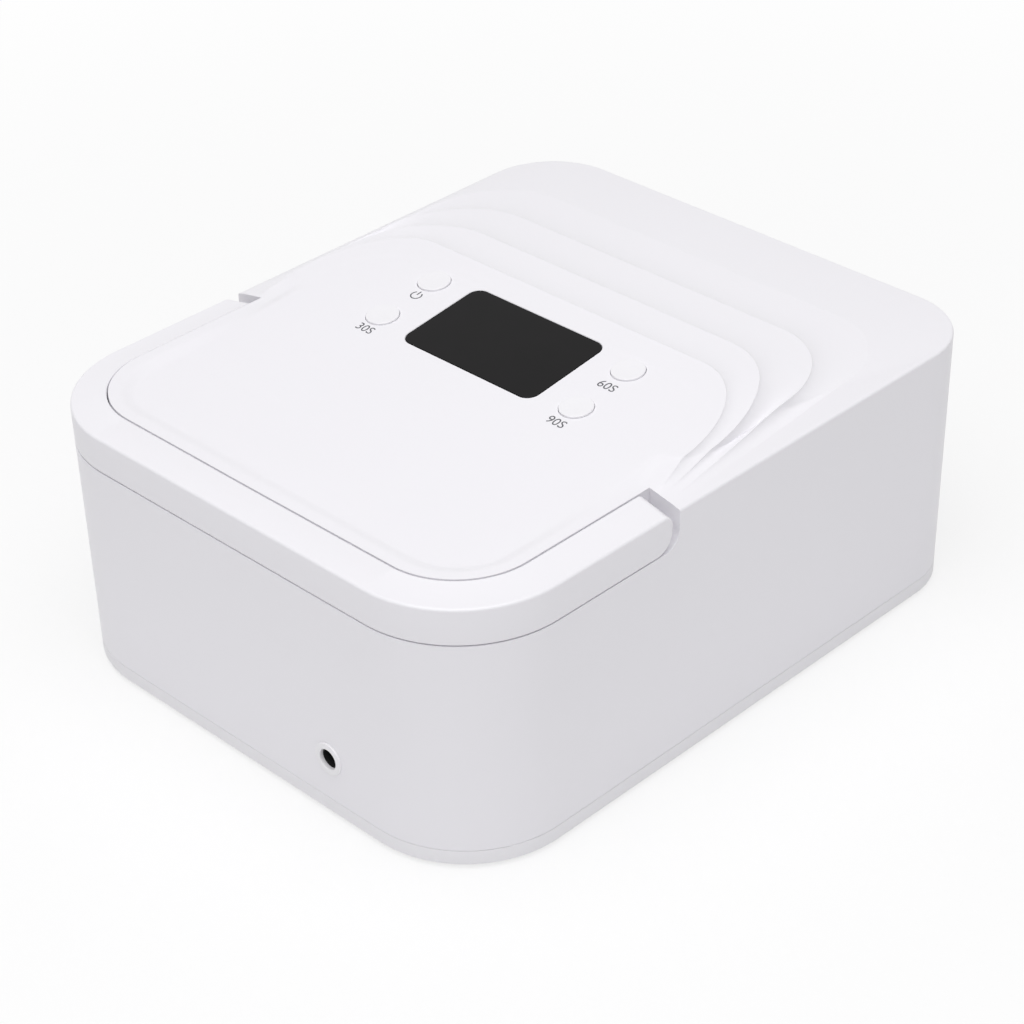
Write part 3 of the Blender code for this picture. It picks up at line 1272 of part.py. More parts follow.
def make_leads(battery_top):
    """Leads from charging board to battery board, on to the control board, and to the lights."""
    charge_x, charge_y = charge_board_centre()
    board_top = CHARGE_BOARD_LOW + BOARD_THICKNESS + GAP
    landing = battery_top + GAP
    start = charge_x + CHARGE_BOARD_WIDTH / 2 - LEAD_BEND
    end = start + LEAD_BEND
    lead("charge_lead", "lead_red", [
        (start, charge_y, board_top),
        ((start + end) / 2, (charge_y + CELL_PLACE) / 2, landing + LEAD_BEND * 1.5),
        (end, CELL_PLACE, landing),
    ], 1, 1)
    slope = math.tan(PANEL_SLOPE)
    under = RIM_HEIGHT + PANEL_RISE - (CONTROL_BOARD_DEPTH + BOARD_THICKNESS) / math.cos(PANEL_SLOPE) - GAP * 2
    board_y = PANEL_PLACE + CONTROL_BOARD_LENGTH / 3
    beside = end + LEAD_BEND * 2
    lead("battery_lead", "lead_black", [
        (beside, CELL_PLACE, landing),
        (beside, CELL_PLACE, LINER_ROOF_HEIGHT),
        (beside, (CELL_PLACE + board_y) / 2, LINER_ROOF_HEIGHT + LEAD_BEND * 2),
        (beside, board_y, under - slope * (board_y - PANEL_PLACE)),
    ], 1, -1)
    top = LINER_ROOF_HEIGHT + GAP + LED_BOARD_THICKNESS + GAP
    light_y = PANEL_PLACE - CONTROL_BOARD_LENGTH / 3
    lead("light_lead", "lead_white", [
        (beside, light_y, under - slope * (light_y - PANEL_PLACE)),
        (beside - LEAD_BEND, light_y - LEAD_BEND, (under + top) / 2),
        (beside - LEAD_BEND * 2, light_y - LEAD_BEND * 2, top),
    ], -1, 1)


def main():
    for old in list(bpy.data.objects):
        bpy.data.objects.remove(old, do_unlink=True)
    panel = add_empty("panel_plane", (0, PANEL_PLACE, RIM_HEIGHT + PANEL_RISE), -PANEL_SLOPE)
    axis = add_empty("handle_axis", (0, PIVOT_PLACE, PIVOT_HEIGHT))
    make_shell(panel)
    make_handle(axis)
    make_window(panel)
    make_buttons(panel)
    make_control_board(panel)
    cover = make_base()
    make_hand_rest()
    make_liner()
    make_liner_screws(cover)
    make_lights()
    make_socket()
    make_charge_board()
    battery_top = make_battery()
    make_leads(battery_top)


main()
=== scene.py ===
"""Nail lamp with a carrying handle: the looks of a white desktop lamp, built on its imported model."""

import math

import bpy
import numpy as np
from mathutils import Matrix, Vector


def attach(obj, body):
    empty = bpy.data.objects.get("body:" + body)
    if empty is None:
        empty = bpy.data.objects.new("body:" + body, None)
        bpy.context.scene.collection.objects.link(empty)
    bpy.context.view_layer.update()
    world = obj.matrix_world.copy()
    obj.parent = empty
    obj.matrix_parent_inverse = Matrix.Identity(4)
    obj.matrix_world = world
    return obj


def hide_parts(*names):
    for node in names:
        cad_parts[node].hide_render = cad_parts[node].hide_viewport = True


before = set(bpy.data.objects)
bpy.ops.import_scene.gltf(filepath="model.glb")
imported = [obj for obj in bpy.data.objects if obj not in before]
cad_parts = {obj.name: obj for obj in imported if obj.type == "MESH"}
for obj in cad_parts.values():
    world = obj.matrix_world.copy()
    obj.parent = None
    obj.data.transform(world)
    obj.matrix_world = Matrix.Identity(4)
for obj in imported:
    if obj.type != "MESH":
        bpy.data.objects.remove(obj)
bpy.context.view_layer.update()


# Camera, floor and light
# The lamp stands on a plain white sweep in a bright tent: an even dome of light and one wide
# soft panel overhead. The camera looks down on the back corner.

CAMERA_TURN = math.radians(225.214)
CAMERA_TILT = math.radians(33.115)
CAMERA_ROLL = math.radians(-1.468)
CAMERA_FAR = 0.882773
CAMERA_SHIFT = (-0.001556, 0.02764)
CAMERA_RAISE = 0.0012
CAMERA_LENS = 96.152
SENSOR_WIDTH = 36.0
NEAREST_SEEN = 0.01
FLOOR_SPAN = 6.0
SHADOW_REACH = (0.18, 0.60)
FLOOR_GLOW = (0.72, 1.0)
DOME_STRENGTH = 0.335
LAMP_PLACE = (-0.25, 0.35, 1.45)
LAMP_WIDTH = 1.6
LAMP_WATTS = 19.6
WHITE = (1.0, 1.0, 1.0, 1.0)
MIRRORED_RAYS = ("Is Glossy Ray", "Is Transmission Ray")

turn, tilt = CAMERA_TURN, CAMERA_TILT
back = Vector((math.sin(turn) * math.cos(tilt), -math.cos(turn) * math.cos(tilt), math.sin(tilt)))
right = Vector((math.cos(turn), math.sin(turn), 0.0))
upward = back.cross(right)
across = right * math.cos(CAMERA_ROLL) + upward * math.sin(CAMERA_ROLL)
upward = upward * math.cos(CAMERA_ROLL) - right * math.sin(CAMERA_ROLL)
lens = bpy.data.cameras.new("camera")
lens.lens = CAMERA_LENS
lens.sensor_width = SENSOR_WIDTH
lens.clip_start = NEAREST_SEEN
camera = bpy.data.objects.new("camera", lens)
bpy.context.scene.collection.objects.link(camera)
turned_to = Matrix((across, upward, back)).transposed().to_4x4()
spot = back * CAMERA_FAR + across * CAMERA_SHIFT[0] + upward * CAMERA_SHIFT[1]
camera.matrix_world = Matrix.Translation(spot + Vector((0, 0, CAMERA_RAISE))) @ turned_to
bpy.context.scene.camera = camera
bpy.context.scene.view_settings.view_transform = "Standard"


class Wire:
    """An output socket for use in expressions: each operator adds its Math node."""

    def __init__(self, finish, socket):
        self.finish = finish
        self.socket = socket

    def joined(self, operation, other):
        return self.finish.node("ShaderNodeMath", {"operation": operation}, {0: self, 1: other})

    def __add__(self, other):
        return self.joined("ADD", other)

    def __mul__(self, other):
        return self.joined("MULTIPLY", other)

    __radd__ = __add__
    __rmul__ = __mul__


class Finish:
    """A material of the lamp: its shader, and the nodes that vary it."""

    def __init__(self, name, colour=(0.8, 0.8, 0.8), roughness=0.5, metallic=0.0, **constants):
        self.material = bpy.data.materials.new(name)
        self.material.use_nodes = True
        self.tree = self.material.node_tree
        self.shader = self.tree.nodes["Principled BSDF"]
        self.set("Base Color", (*colour, 1.0))
        self.set("Roughness", roughness)
        self.set("Metallic", metallic)
        for label, value in constants.items():
            self.set(label.replace("_", " "), value)

    def set(self, label, value):
        """Give a shader socket a number or colour, or link a wire to it."""
        if isinstance(value, Wire):
            self.tree.links.new(value.socket, self.shader.inputs[label])
        else:
            self.shader.inputs[label].default_value = value

    def node(self, kind, settings=None, sockets=None, output=0):
        """Any node: its settings first, then the values or wires of its sockets."""
        made = self.tree.nodes.new(kind)
        for label, value in (settings or {}).items():
            if label == "stops":
                ramp = made.color_ramp
                while len(ramp.elements) < len(value):
                    ramp.elements.new(0.5)
                for stop, (place, colour) in zip(ramp.elements, value):
                    stop.position = place
                    stop.color = colour
            else:
                setattr(made, label, value)
        for label, value in (sockets or {}).items():
            if isinstance(value, Wire):
                self.tree.links.new(value.socket, made.inputs[label])
            else:
                made.inputs[label].default_value = value
        return Wire(self, made.outputs[output])

    def place(self):
        """Object coordinates, in metres."""
        return self.node("ShaderNodeTexCoord", output="Object")

    def noise(self, size, detail=2.0, stretch=None):
        """Smooth noise from 0 to 1, whose lumps are about the given size across."""
        where = self.place()
        if stretch:
            where = self.node("ShaderNodeMapping", sockets={"Vector": where, "Scale": stretch})
        return self.node("ShaderNodeTexNoise", sockets={"Vector": where, "Scale": 1 / size, "Detail": detail})

    def tint(self, low, high, amount):
        """A colour between two, by a wire from 0 to 1."""
        return self.node("ShaderNodeMix", {"data_type": "RGBA"},
                         {0: amount, 6: (*low, 1.0), 7: (*high, 1.0)}, output=2)

    def relief(self, height, depth):
        """Bump from a wire from 0 to 1 that stands for a real depth in metres."""
        return self.node("ShaderNodeBump", sockets={"Height": height, "Distance": depth, "Strength": 1.0})

    def vary(self, texture, low, high, span, least, depth=None):
        """Lay one texture over colour, roughness (its span over the least) and relief."""
        self.set("Base Color", self.tint(low, high, texture))
        self.set("Roughness", texture * span + least)
        if depth:
            self.set("Normal", self.relief(texture, depth))


def put_mesh(name, points, faces, smooth_degrees=30.0):
    """A named object from an (n, 3) array of points and lists of point numbers."""
    mesh = bpy.data.meshes.new(name)
    mesh.from_pydata(np.asarray(points).tolist(), [], faces)
    mesh.update()
    mesh.shade_smooth()
    mesh.set_sharp_from_angle(angle=math.radians(smooth_degrees))
    made = bpy.data.objects.new(name, mesh)
    bpy.context.scene.collection.objects.link(made)
    return made


floor_points = np.array([(-1, -1, 0), (1, -1, 0), (1, 1, 0), (-1, 1, 0)]) * FLOOR_SPAN / 2
floor = put_mesh("floor", floor_points, [(0, 1, 2, 3)])
paper = Finish("white_paper", (0.93, 0.93, 0.935), 0.9)
white_ray = paper.node("ShaderNodeLightPath", output="Is Camera Ray")
for kind in MIRRORED_RAYS:
    white_ray = white_ray.joined("MAXIMUM", paper.node("ShaderNodeLightPath", output=kind))
glow = paper.node("ShaderNodeEmission", sockets={"Color": WHITE, "Strength": 1.0})
away = paper.node("ShaderNodeVectorMath", {"operation": "LENGTH"}, {0: paper.place()}, output=1)
fade = paper.node("ShaderNodeMapRange", sockets=dict(enumerate((away, *SHADOW_REACH, *FLOOR_GLOW))))
lit = Wire(paper, paper.shader.outputs[0])
seen = paper.node("ShaderNodeMixShader", sockets={0: white_ray * fade, 1: lit, 2: glow})
paper.tree.links.new(seen.socket, paper.tree.nodes["Material Output"].inputs["Surface"])
floor.data.materials.append(paper.material)

world = bpy.data.worlds.new("white_tent")
world.use_nodes = True
bpy.context.scene.world = world
sky = world.node_tree
dome = sky.nodes["Background"]
wall = sky.nodes.new("ShaderNodeBackground")
for backdrop, strength in ((dome, DOME_STRENGTH), (wall, 1.0)):
    backdrop.inputs["Color"].default_value = WHITE
    backdrop.inputs["Strength"].default_value = strength
ray = sky.nodes.new("ShaderNodeLightPath")
wall_share = ray.outputs["Is Camera Ray"]
for kind in MIRRORED_RAYS:
    either = sky.nodes.new("ShaderNodeMath")
    either.operation = "MAXIMUM"
    sky.links.new(wall_share, either.inputs[0])
    sky.links.new(ray.outputs[kind], either.inputs[1])
    wall_share = either.outputs[0]
chosen = sky.nodes.new("ShaderNodeMixShader")
for number, socket in enumerate((wall_share, dome.outputs[0], wall.outputs[0])):
    sky.links.new(socket, chosen.inputs[number])
sky.links.new(chosen.outputs[0], sky.nodes["World Output"].inputs["Surface"])

panel_light = bpy.data.lights.new("overhead_panel", "AREA")
panel_light.size = LAMP_WIDTH
panel_light.energy = LAMP_WATTS
lamp = bpy.data.objects.new("overhead_panel", panel_light)
lamp.location = LAMP_PLACE
lamp.rotation_mode = "QUATERNION"
lamp.rotation_quaternion = (-Vector(LAMP_PLACE)).to_track_quat("-Z", "Y")
bpy.context.scene.collection.objects.link(lamp)


# Upper housing
# One white ABS moulding with a fine satin surface: drafted walls, a level outer deck, four soft
# ripples that step up to the sloping control panel, and a recess for the handle round the back.
# It is open below, has an arch for the hand in front, and sits on the bottom cover.

BODY_WIDTH = 0.188
BODY_LENGTH = 0.230
HALF_WIDTH = BODY_WIDTH / 2
HALF_LENGTH = BODY_LENGTH / 2
RIM_HEIGHT = 0.0901
FRONT_CORNER = 0.026
BACK_CORNER = 0.037
WALL = 0.0024
DRAFT = 0.0008
EDGE_ROUND = 0.0009
SHELL_BOTTOM = 0.0066
GAP = 0.0003
OVERRUN = 0.0020
PANEL_PLACE = 0.0033
PANEL_RISE = 0.00705
PANEL_SLOPE = math.radians(7.03)
PANEL_EASE = 0.054
PANEL_THICKNESS = 0.0026
HANDLE_WIDTH = 0.0115
HANDLE_HEIGHT = 0.0119
HANDLE_BOTTOM = RIM_HEIGHT - HANDLE_HEIGHT
RECESS_FLOOR = HANDLE_BOTTOM - 0.0004
NOTCH_PLACE = 0.0285
NOTCH_ROUND = 0.0060
# Shares of each crest: front, side and side at the notch; corner's width, depth; rise.
CREST_SHARES = ((0.209, 0.875, 0.906, 0.99, 1.45, 1.00), (0.357, 0.895, 0.926, 1.22, 1.73, 0.83),
                (0.536, 0.896, 0.953, 1.10, 1.36, 0.56), (0.724, 0.930, 0.973, 1.05, 1.19, 0.30))
CREST_FALL_SHARES = (0.0, 0.12, 0.28, 0.29)
# Shares of each ring inside the first crest: front, side, corner's width, depth, inset.
INNER_SHARES = ((0.174, 0.862, 0.96, 1.35, 1.00), (0.139, 0.830, 0.88, 1.23, 1.26),
                (0.104, 0.777, 0.77, 1.08, 1.70), (0.088, 0.750, 0.72, 1.00, 1.85))
FLANK_START = 0.06
FLANK_SWELL = 0.4
TREAD_DEPTH_SHARE = 0.058
TREAD_POWER = 0.68
TREAD_RINGS = 16
PANEL_RINGS = 8
RIM_SHARES = (0.01, 0.04, 0.1, 0.25, 0.5, 0.75, 0.9)
CROWN_AT_NOTCH = 0.0024
CROWN_AT_BACK = 0.0015
STRETCHES = (14, 26, 34, 14, 34, 12)
DISPLAY_SIZE = (0.0550, 0.0340)
DISPLAY_CORNER = 0.0040
DISPLAY_LEDGE = 0.0025
BUTTON_X, BUTTON_Y = 0.0412, 0.0113
BUTTON_PLACES = {"power": (BUTTON_X, -BUTTON_Y), "30": (BUTTON_X, BUTTON_Y),
                 "60": (-BUTTON_X, -BUTTON_Y), "90": (-BUTTON_X, BUTTON_Y)}
BUTTON_RADIUS = 0.0053
BUTTON_PLAY = 0.00014
SOCKET_PLACE = (-0.0372, HALF_LENGTH, 0.0214)
SOCKET_HOLE_RADIUS = 0.0046
BACKWARDS = -math.pi / 2
OPENING_WIDTH, OPENING_HEIGHT, OPENING_CORNER = 0.146, 0.0600, 0.024
FLOOR_TOP = 0.0034
SCREW_PLACES = [(side * (HALF_WIDTH - 0.0136), -HALF_LENGTH + 0.0160) for side in (1, -1)]
SCREW_PLACES += [(side * (HALF_WIDTH - 0.0165), HALF_LENGTH - 0.0195) for side in (1, -1)]
BOARD_POST_PLACES = [(x, y) for x in (-0.054, 0.054) for y in (-0.018, 0.018)]
BOARD_POST_END = -0.0083
NOTCH_WIDTH = 0.0030
ARM_END = NOTCH_PLACE + NOTCH_WIDTH
ARM_END_RADIUS = 0.0062
PIVOT_PLACE = ARM_END + ARM_END_RADIUS
PIVOT_HEIGHT = HANDLE_BOTTOM + ARM_END_RADIUS + GAP
PIN_RADIUS = 0.0020
PIN_FIT = 0.00006
BOSS_LENGTH = 0.0045
along = np.concatenate([np.linspace(k, k + 1, n, endpoint=False) for k, n in enumerate(STRETCHES)]
                       + [[float(len(STRETCHES))]])


def stretch(s, k):
    """Share of the k-th stretch of the outline that is behind each point."""
    return np.clip(s - k, 0.0, 1.0)


def half_outline(front, side, corner, depth, inset, s=along):
    """Right half of a level outline from mid front to mid back, as (n, 2) points.

    The stretches are the straight front, a quarter ellipse as wide as the corner and as long
    as the depth, the flank that eases out to the notch, the straight arm stretch, a quarter
    circle and the straight back.
    """
    turn_in = stretch(s, 1) * math.pi / 2
    flank = stretch(s, 2)
    spread = (1 + FLANK_START) * flank**2 / (flank + FLANK_START) * (1 + FLANK_SWELL - FLANK_SWELL * flank)
    turn_out = stretch(s, 4) * math.pi / 2
    beside = HALF_WIDTH - inset
    end = HALF_LENGTH - BACK_CORNER
    radius = BACK_CORNER - inset
    x = ((side - corner) * stretch(s, 0) + corner * np.sin(turn_in) + (beside - side) * spread
         - radius * (1 - np.cos(turn_out)) - (HALF_WIDTH - BACK_CORNER) * stretch(s, 5))
    y = (-front + depth * (1 - np.cos(turn_in)) + (NOTCH_PLACE + front - depth) * flank
         + (end - NOTCH_PLACE) * stretch(s, 3) + radius * np.sin(turn_out))
    return np.stack([x, y], 1)


def inset_outline(inset, s=along):
    """Right half of the body's outline, moved inwards all round."""
    corner = FRONT_CORNER - inset
    return half_outline(HALF_LENGTH - inset, HALF_WIDTH - inset, corner, corner, inset, s)


def raised(plan, height):
    """Right half ring at a height, a number or one for each point, as (n, 3)."""
    return np.column_stack([plan, np.broadcast_to(height, len(plan))])


def whole(half):
    """Closed ring from its right half."""
    return np.concatenate([half, half[-2:0:-1] * (-1, 1, 1)])


def ring_at(inset, height, s=along):
    """Closed ring along the body's outline, moved inwards, at a height."""
    return whole(raised(inset_outline(inset, s), height))


def panel_height(y):
    """Panel over the rim: a straight slope that eases to level past the notch as a parabola."""
    slope = math.tan(PANEL_SLOPE)
    past = np.clip(y - NOTCH_PLACE, 0.0, PANEL_EASE)
    return (PANEL_RISE - slope * (np.minimum(y, NOTCH_PLACE) - PANEL_PLACE)
            - slope * (past - past**2 / (2 * PANEL_EASE)))


def crown(s=along):
    """Height of the deck at the handle's inner line, from the notch to the back."""
    share = stretch(s, 3) / 3 + stretch(s, 4) * 7 / 15 + stretch(s, 5) / 5
    return CROWN_AT_NOTCH + (CROWN_AT_BACK - CROWN_AT_NOTCH) * share


def crest(k):
    """The k-th crest: the first lies on the panel up to its flank, the others are level in front.

    From there each falls evenly to the notch, where it ends on the crown of the handle.
    """
    front_share, side_share, notch_share, width_share, depth_share, rise_share = CREST_SHARES[k]
    front = HALF_LENGTH * front_share
    depth = FRONT_CORNER * depth_share
    inset = HALF_WIDTH * (1 - notch_share)
    plan = half_outline(front, HALF_WIDTH * side_share, FRONT_CORNER * width_share, depth, inset)
    fall_start = HALF_LENGTH * CREST_FALL_SHARES[k] - front if k else depth - front
    ahead = rise_share * panel_height(-HALF_LENGTH * CREST_SHARES[0][0])
    if k == 0:
        ahead = panel_height(np.minimum(plan[:, 1], fall_start))
    share = np.clip((plan[:, 1] - fall_start) / (NOTCH_PLACE - fall_start), 0.0, 1.0)
    return raised(plan, ahead * (1 - share) + inset / HANDLE_WIDTH * crown() * share)


def border(k):
    """The k-th ring inside the first crest; the last two lie on the panel itself."""
    front_share, side_share, width_share, depth_share, inset_share = INNER_SHARES[k]
    plan = half_outline(HALF_LENGTH * front_share, HALF_WIDTH * side_share, FRONT_CORNER * width_share,
                        FRONT_CORNER * depth_share, HANDLE_WIDTH * inset_share)
    level = panel_height(plan[:, 1])
    flank = stretch(along, 2)
    return raised(plan, level if k > 1 else level * (1 - flank) + crown() * flank)


def between(inner, outer, shares, depth=None, ease=False):
    """Half rings between two others at the given shares.

    A tread hangs below the straight line by the sine of pi times a power of the share, times a
    depth share of the tread's width, and fades out along the flank.
    """
    made = []
    for share in shares:
        ring = inner + (outer - inner) * share
        if ease:
            ring[:, 2] = inner[:, 2] + (outer[:, 2] - inner[:, 2]) * share**2 * (3 - 2 * share)
        if depth:
            width = np.hypot(*(outer - inner)[:, :2].T)
            hang = math.sin(math.pi * share**TREAD_POWER)
            ring[:, 2] -= width * depth * hang * (1 - stretch(along, 2))
        made.append(ring)
    return made


def top_rings():
    """Right half rings of the whole top, from the panel out to the rim."""
    rings = [border(3), border(2)]
    rings += between(border(2), border(1), np.linspace(0, 1, PANEL_RINGS + 1)[1:], ease=True)
    rings += between(border(1), border(0), (0.5, 1.0))
    rings += between(border(0), crest(0), (0.5, 1.0))
    shares = (1 - np.cos(np.linspace(0, math.pi, TREAD_RINGS + 1)[1:])) / 2
    for k in range(3):
        rings += between(crest(k), crest(k + 1), shares, depth=TREAD_DEPTH_SHARE)
    rings += between(crest(3), raised(inset_outline(EDGE_ROUND), 0.0), RIM_SHARES)
    for bend in np.linspace(0, math.pi / 2, 6):
        inset = EDGE_ROUND * (1 - math.sin(bend))
        rings.append(raised(inset_outline(inset), EDGE_ROUND * (math.cos(bend) - 1)))
    return [ring + (0, 0, RIM_HEIGHT) for ring in rings]


def bridged(rings, count):
    """Quads between closed rings of count points each, as an (m, 4) array."""
    low = np.arange(count)
    pair = np.stack([low, np.roll(low, -1), np.roll(low, -1) + count, low + count], 1)
    return np.concatenate([pair + count * k for k in range(rings - 1)])


def outwards(made):
    """Turn every face of a closed piece outwards."""
    bpy.context.view_layer.objects.active = made
    made.select_set(True)
    bpy.ops.object.mode_set(mode="EDIT")
    bpy.ops.mesh.select_all(action="SELECT")
    bpy.ops.mesh.normals_make_consistent(inside=False)
    bpy.ops.object.mode_set(mode="OBJECT")
    made.select_set(False)
    return made


def lofted(name, rings, smooth_degrees=30.0):
    """A closed object from rings of equally many points, with a flat face at either end."""
    count = len(rings[0])
    faces = bridged(len(rings), count).tolist()
    faces.append(list(range(count - 1, -1, -1)))
    faces.append([count * (len(rings) - 1) + i for i in range(count)])
    return outwards(put_mesh(name, np.concatenate(rings), faces, smooth_degrees))


def looped(name, rings):
    """A closed object from rings of equally many points, the last of them joined to the first."""
    count = len(rings[0])
    faces = bridged(len(rings) + 1, count) % (count * len(rings))
    return outwards(put_mesh(name, np.concatenate(rings), faces.tolist()))


def body_block():
    """The solid that the housing is cut from: the top's rings, the drafted wall and a flat base."""
    halves = top_rings() + [raised(inset_outline(DRAFT), SHELL_BOTTOM)]
    count = 2 * len(along) - 2
    faces = bridged(len(halves), count).tolist()
    faces.append([count * (len(halves) - 1) + i for i in range(count)])
    last = len(along) - 1
    left = np.concatenate([[0], np.arange(count - 1, last, -1), [last]])
    first, final = STRETCHES[0] + 1, last - STRETCHES[5] - 1
    faces.append(list(range(first + 1)) + left[1:first + 1][::-1].tolist())
    faces += [(i, i + 1, int(left[i + 1]), int(left[i])) for i in range(first, final)]
    faces.append(list(range(final, last + 1)) + left[final:last][::-1].tolist())
    return outwards(put_mesh("housing", np.concatenate([whole(half) for half in halves]), faces))


def cut(target, tools, operation="DIFFERENCE"):
    """Cut the tools from a piece for good, one after another, and throw them away."""
    for tool in tools:
        step = target.modifiers.new("cut", "BOOLEAN")
        step.operation = operation
        step.solver = "EXACT"
        step.object = tool
    shaped = bpy.data.meshes.new_from_object(target.evaluated_get(bpy.context.evaluated_depsgraph_get()))
    target.modifiers.clear()
    old = target.data
    target.data = shaped
    bpy.data.meshes.remove(old)
    for tool in tools:
        bpy.data.objects.remove(tool)
    return target


def coated(made, finish, smooth_degrees=None):
    """Give a piece its finish alone and, after a cut, its smooth shading anew."""
    if smooth_degrees:
        made.data.shade_smooth()
        made.data.set_sharp_from_angle(angle=math.radians(smooth_degrees))
    made.data.materials.clear()
    made.data.materials.append(finish.material)


def moved(made, centre, turn):
    """Turn a piece about X and move it to its place."""
    made.data.transform(Matrix.Translation(centre) @ Matrix.Rotation(turn, 4, "X"))
    return made


def turned_piece(name, profile, centre=(0.0, 0.0, 0.0), turn=0.0, points=72, smooth_degrees=30.0):
    """A solid of revolution from (radius, height) pairs, turned about X and moved to its place."""
    angle = np.linspace(0, 2 * math.pi, points, endpoint=False)
    rings = [np.column_stack([r * np.cos(angle), r * np.sin(angle), np.full(points, z)]) for r, z in profile]
    return moved(lofted(name, rings, smooth_degrees), centre, turn)


def rounded_slab(name, half_x, half_y, corner, levels, centre=(0.0, 0.0, 0.0), turn=0.0, points=12):
    """A slab with round corners from (inset, height) levels, turned about X and moved to its place."""
    rings = []
    for inset, height in levels:
        ring = []
        for sign_x, sign_y, start in ((1, -1, -90), (1, 1, 0), (-1, 1, 90), (-1, -1, 180)):
            t = np.radians(np.linspace(start, start + 90, points))
            ring.append(np.column_stack([sign_x * (half_x - corner) + (corner - inset) * np.cos(t),
                                         sign_y * (half_y - corner) + (corner - inset) * np.sin(t),
                                         np.full(points, height)]))
        rings.append(np.concatenate(ring))
    return moved(lofted(name, rings), centre, turn)


def arm_bar(name, start, inner_inset, outer_inset, low_round, low, high):
    """A U-shaped bar in plan with ends rounded below, from inner and outer insets and heights."""
    lead = low_round * (1 - np.cos(np.linspace(0, math.pi / 2, 12)))
    s_lead = 3 + (start + lead - NOTCH_PLACE) / (HALF_LENGTH - BACK_CORNER - NOTCH_PLACE)
    s_rest = along[along > s_lead[-1] + 0.02]
    s = np.concatenate([s_lead, s_rest])
    past = np.concatenate([lead, np.full(len(s_rest), low_round)])
    lift = low_round - np.sqrt(np.maximum(low_round**2 - (low_round - past) ** 2, 0.0))
    inner, outer = inset_outline(inner_inset, s), inset_outline(outer_inset, s)
    section = np.stack([raised(inner, low + lift), raised(outer, low + lift),
                        raised(outer, high), raised(inner, high)], 1)
    return lofted(name, list(np.concatenate([section, section[-2::-1] * (-1, 1, 1)])))


def panel_place(x, y, z=0.0):
    """World place of a point of the panel's plane."""
    c, s = math.cos(PANEL_SLOPE), math.sin(PANEL_SLOPE)
    return Vector((x, PANEL_PLACE + y * c + z * s, RIM_HEIGHT + PANEL_RISE - y * s + z * c))


def on_panel(x, y):
    """Centre and turn that lay a piece square on the panel."""
    return panel_place(x, y), -PANEL_SLOPE


def arch_outline(grown, corner, low, points):
    """Outline of the hand opening as (x, z), grown all round, from a low edge up."""
    half, high = OPENING_WIDTH / 2 + grown, OPENING_HEIGHT + grown
    t = np.linspace(0, math.pi / 2, points)
    arc = np.column_stack([half - corner + corner * np.cos(t), high - corner + corner * np.sin(t)])
    side = np.concatenate([[(half, low)], arc])
    return np.concatenate([side, side[::-1] * (-1, 1)])


def standing(outline, y):
    """Ring from an (x, z) outline at a place along Y."""
    return np.column_stack([outline[:, 0], np.full(len(outline), y), outline[:, 1]])


def arch_tool():
    """The hand opening with an edge rounded like a quarter circle of about 1 mm."""
    levels = [(0.0012, -0.1190), (0.0012, -0.1150), (0.0006, -0.11465), (0.00025, -0.11425),
              (0.0, -0.1136), (0.0, -0.1100)]
    return lofted("arch", [standing(arch_outline(grown, OPENING_CORNER, SHELL_BOTTOM - OVERRUN, 20), y)
                           for grown, y in levels])


def hollow_tools():
    """The room inside: below the recess, above it, and under the sloping panel."""
    coarse = along[::2]
    low = lofted("hollow_low", [ring_at(WALL + DRAFT, SHELL_BOTTOM - OVERRUN, coarse),
                                ring_at(WALL, RECESS_FLOOR - WALL, coarse)])
    corner = FRONT_CORNER - WALL
    plan = half_outline(HALF_LENGTH - WALL, HALF_WIDTH - WALL, corner, corner, HANDLE_WIDTH + WALL, coarse)
    ceiling = RIM_HEIGHT - PANEL_THICKNESS
    high = lofted("hollow_high", [whole(raised(plan, z)) for z in (RECESS_FLOOR - WALL - OVERRUN, ceiling)])
    front = HALF_LENGTH * CREST_SHARES[0][0]
    far = HALF_LENGTH - HANDLE_WIDTH * 1.3
    y = NOTCH_PLACE + PANEL_EASE * 0.7 * np.linspace(0, 1, 9)
    z = np.maximum(RIM_HEIGHT + panel_height(y) - PANEL_THICKNESS, ceiling - OVERRUN / 2)
    peak = RIM_HEIGHT + panel_height(-front) - PANEL_THICKNESS * 1.15
    outline = np.concatenate([[(-far, ceiling - OVERRUN), (-far, ceiling + WALL / 2), (-front, peak)],
                              np.column_stack([y, z]), [(y[-1], ceiling - OVERRUN)]])
    half = HALF_WIDTH * CREST_SHARES[0][1] - FRONT_CORNER * 0.8
    slope = lofted("hollow_slope", [np.column_stack([np.full(len(outline), side), outline])
                                    for side in (-half, half)])
    return [low, high, slope]


def hole_tools():
    """Button holes, the window's seat and its light hole, and the socket's hole."""
    radius = BUTTON_RADIUS + BUTTON_PLAY
    hole = [(radius, -0.0060), (radius, -0.0001), (radius + 0.0001, 0.00002), (radius + 0.0012, 0.0010)]
    tools = [turned_piece("hole", hole, *on_panel(x, y)) for x, y in BUTTON_PLACES.values()]
    half_x, half_y = (size / 2 + GAP / 2 for size in DISPLAY_SIZE)
    seat = [(0, -0.0016), (0, -0.0002), (-0.0002, 0.00001), (-0.001, 0.0009)]
    tools.append(rounded_slab("seat", half_x, half_y, DISPLAY_CORNER + GAP / 2, seat, *on_panel(0, 0)))
    tools.append(rounded_slab("light_hole", half_x - DISPLAY_LEDGE, half_y - DISPLAY_LEDGE,
                              DISPLAY_CORNER / 2, [(0, -0.006), (0, -0.0012)], *on_panel(0, 0)))
    tools.append(turned_piece("socket_hole", [(SOCKET_HOLE_RADIUS, -0.0070), (SOCKET_HOLE_RADIUS, OVERRUN)],
                              SOCKET_PLACE, BACKWARDS))
    return tools


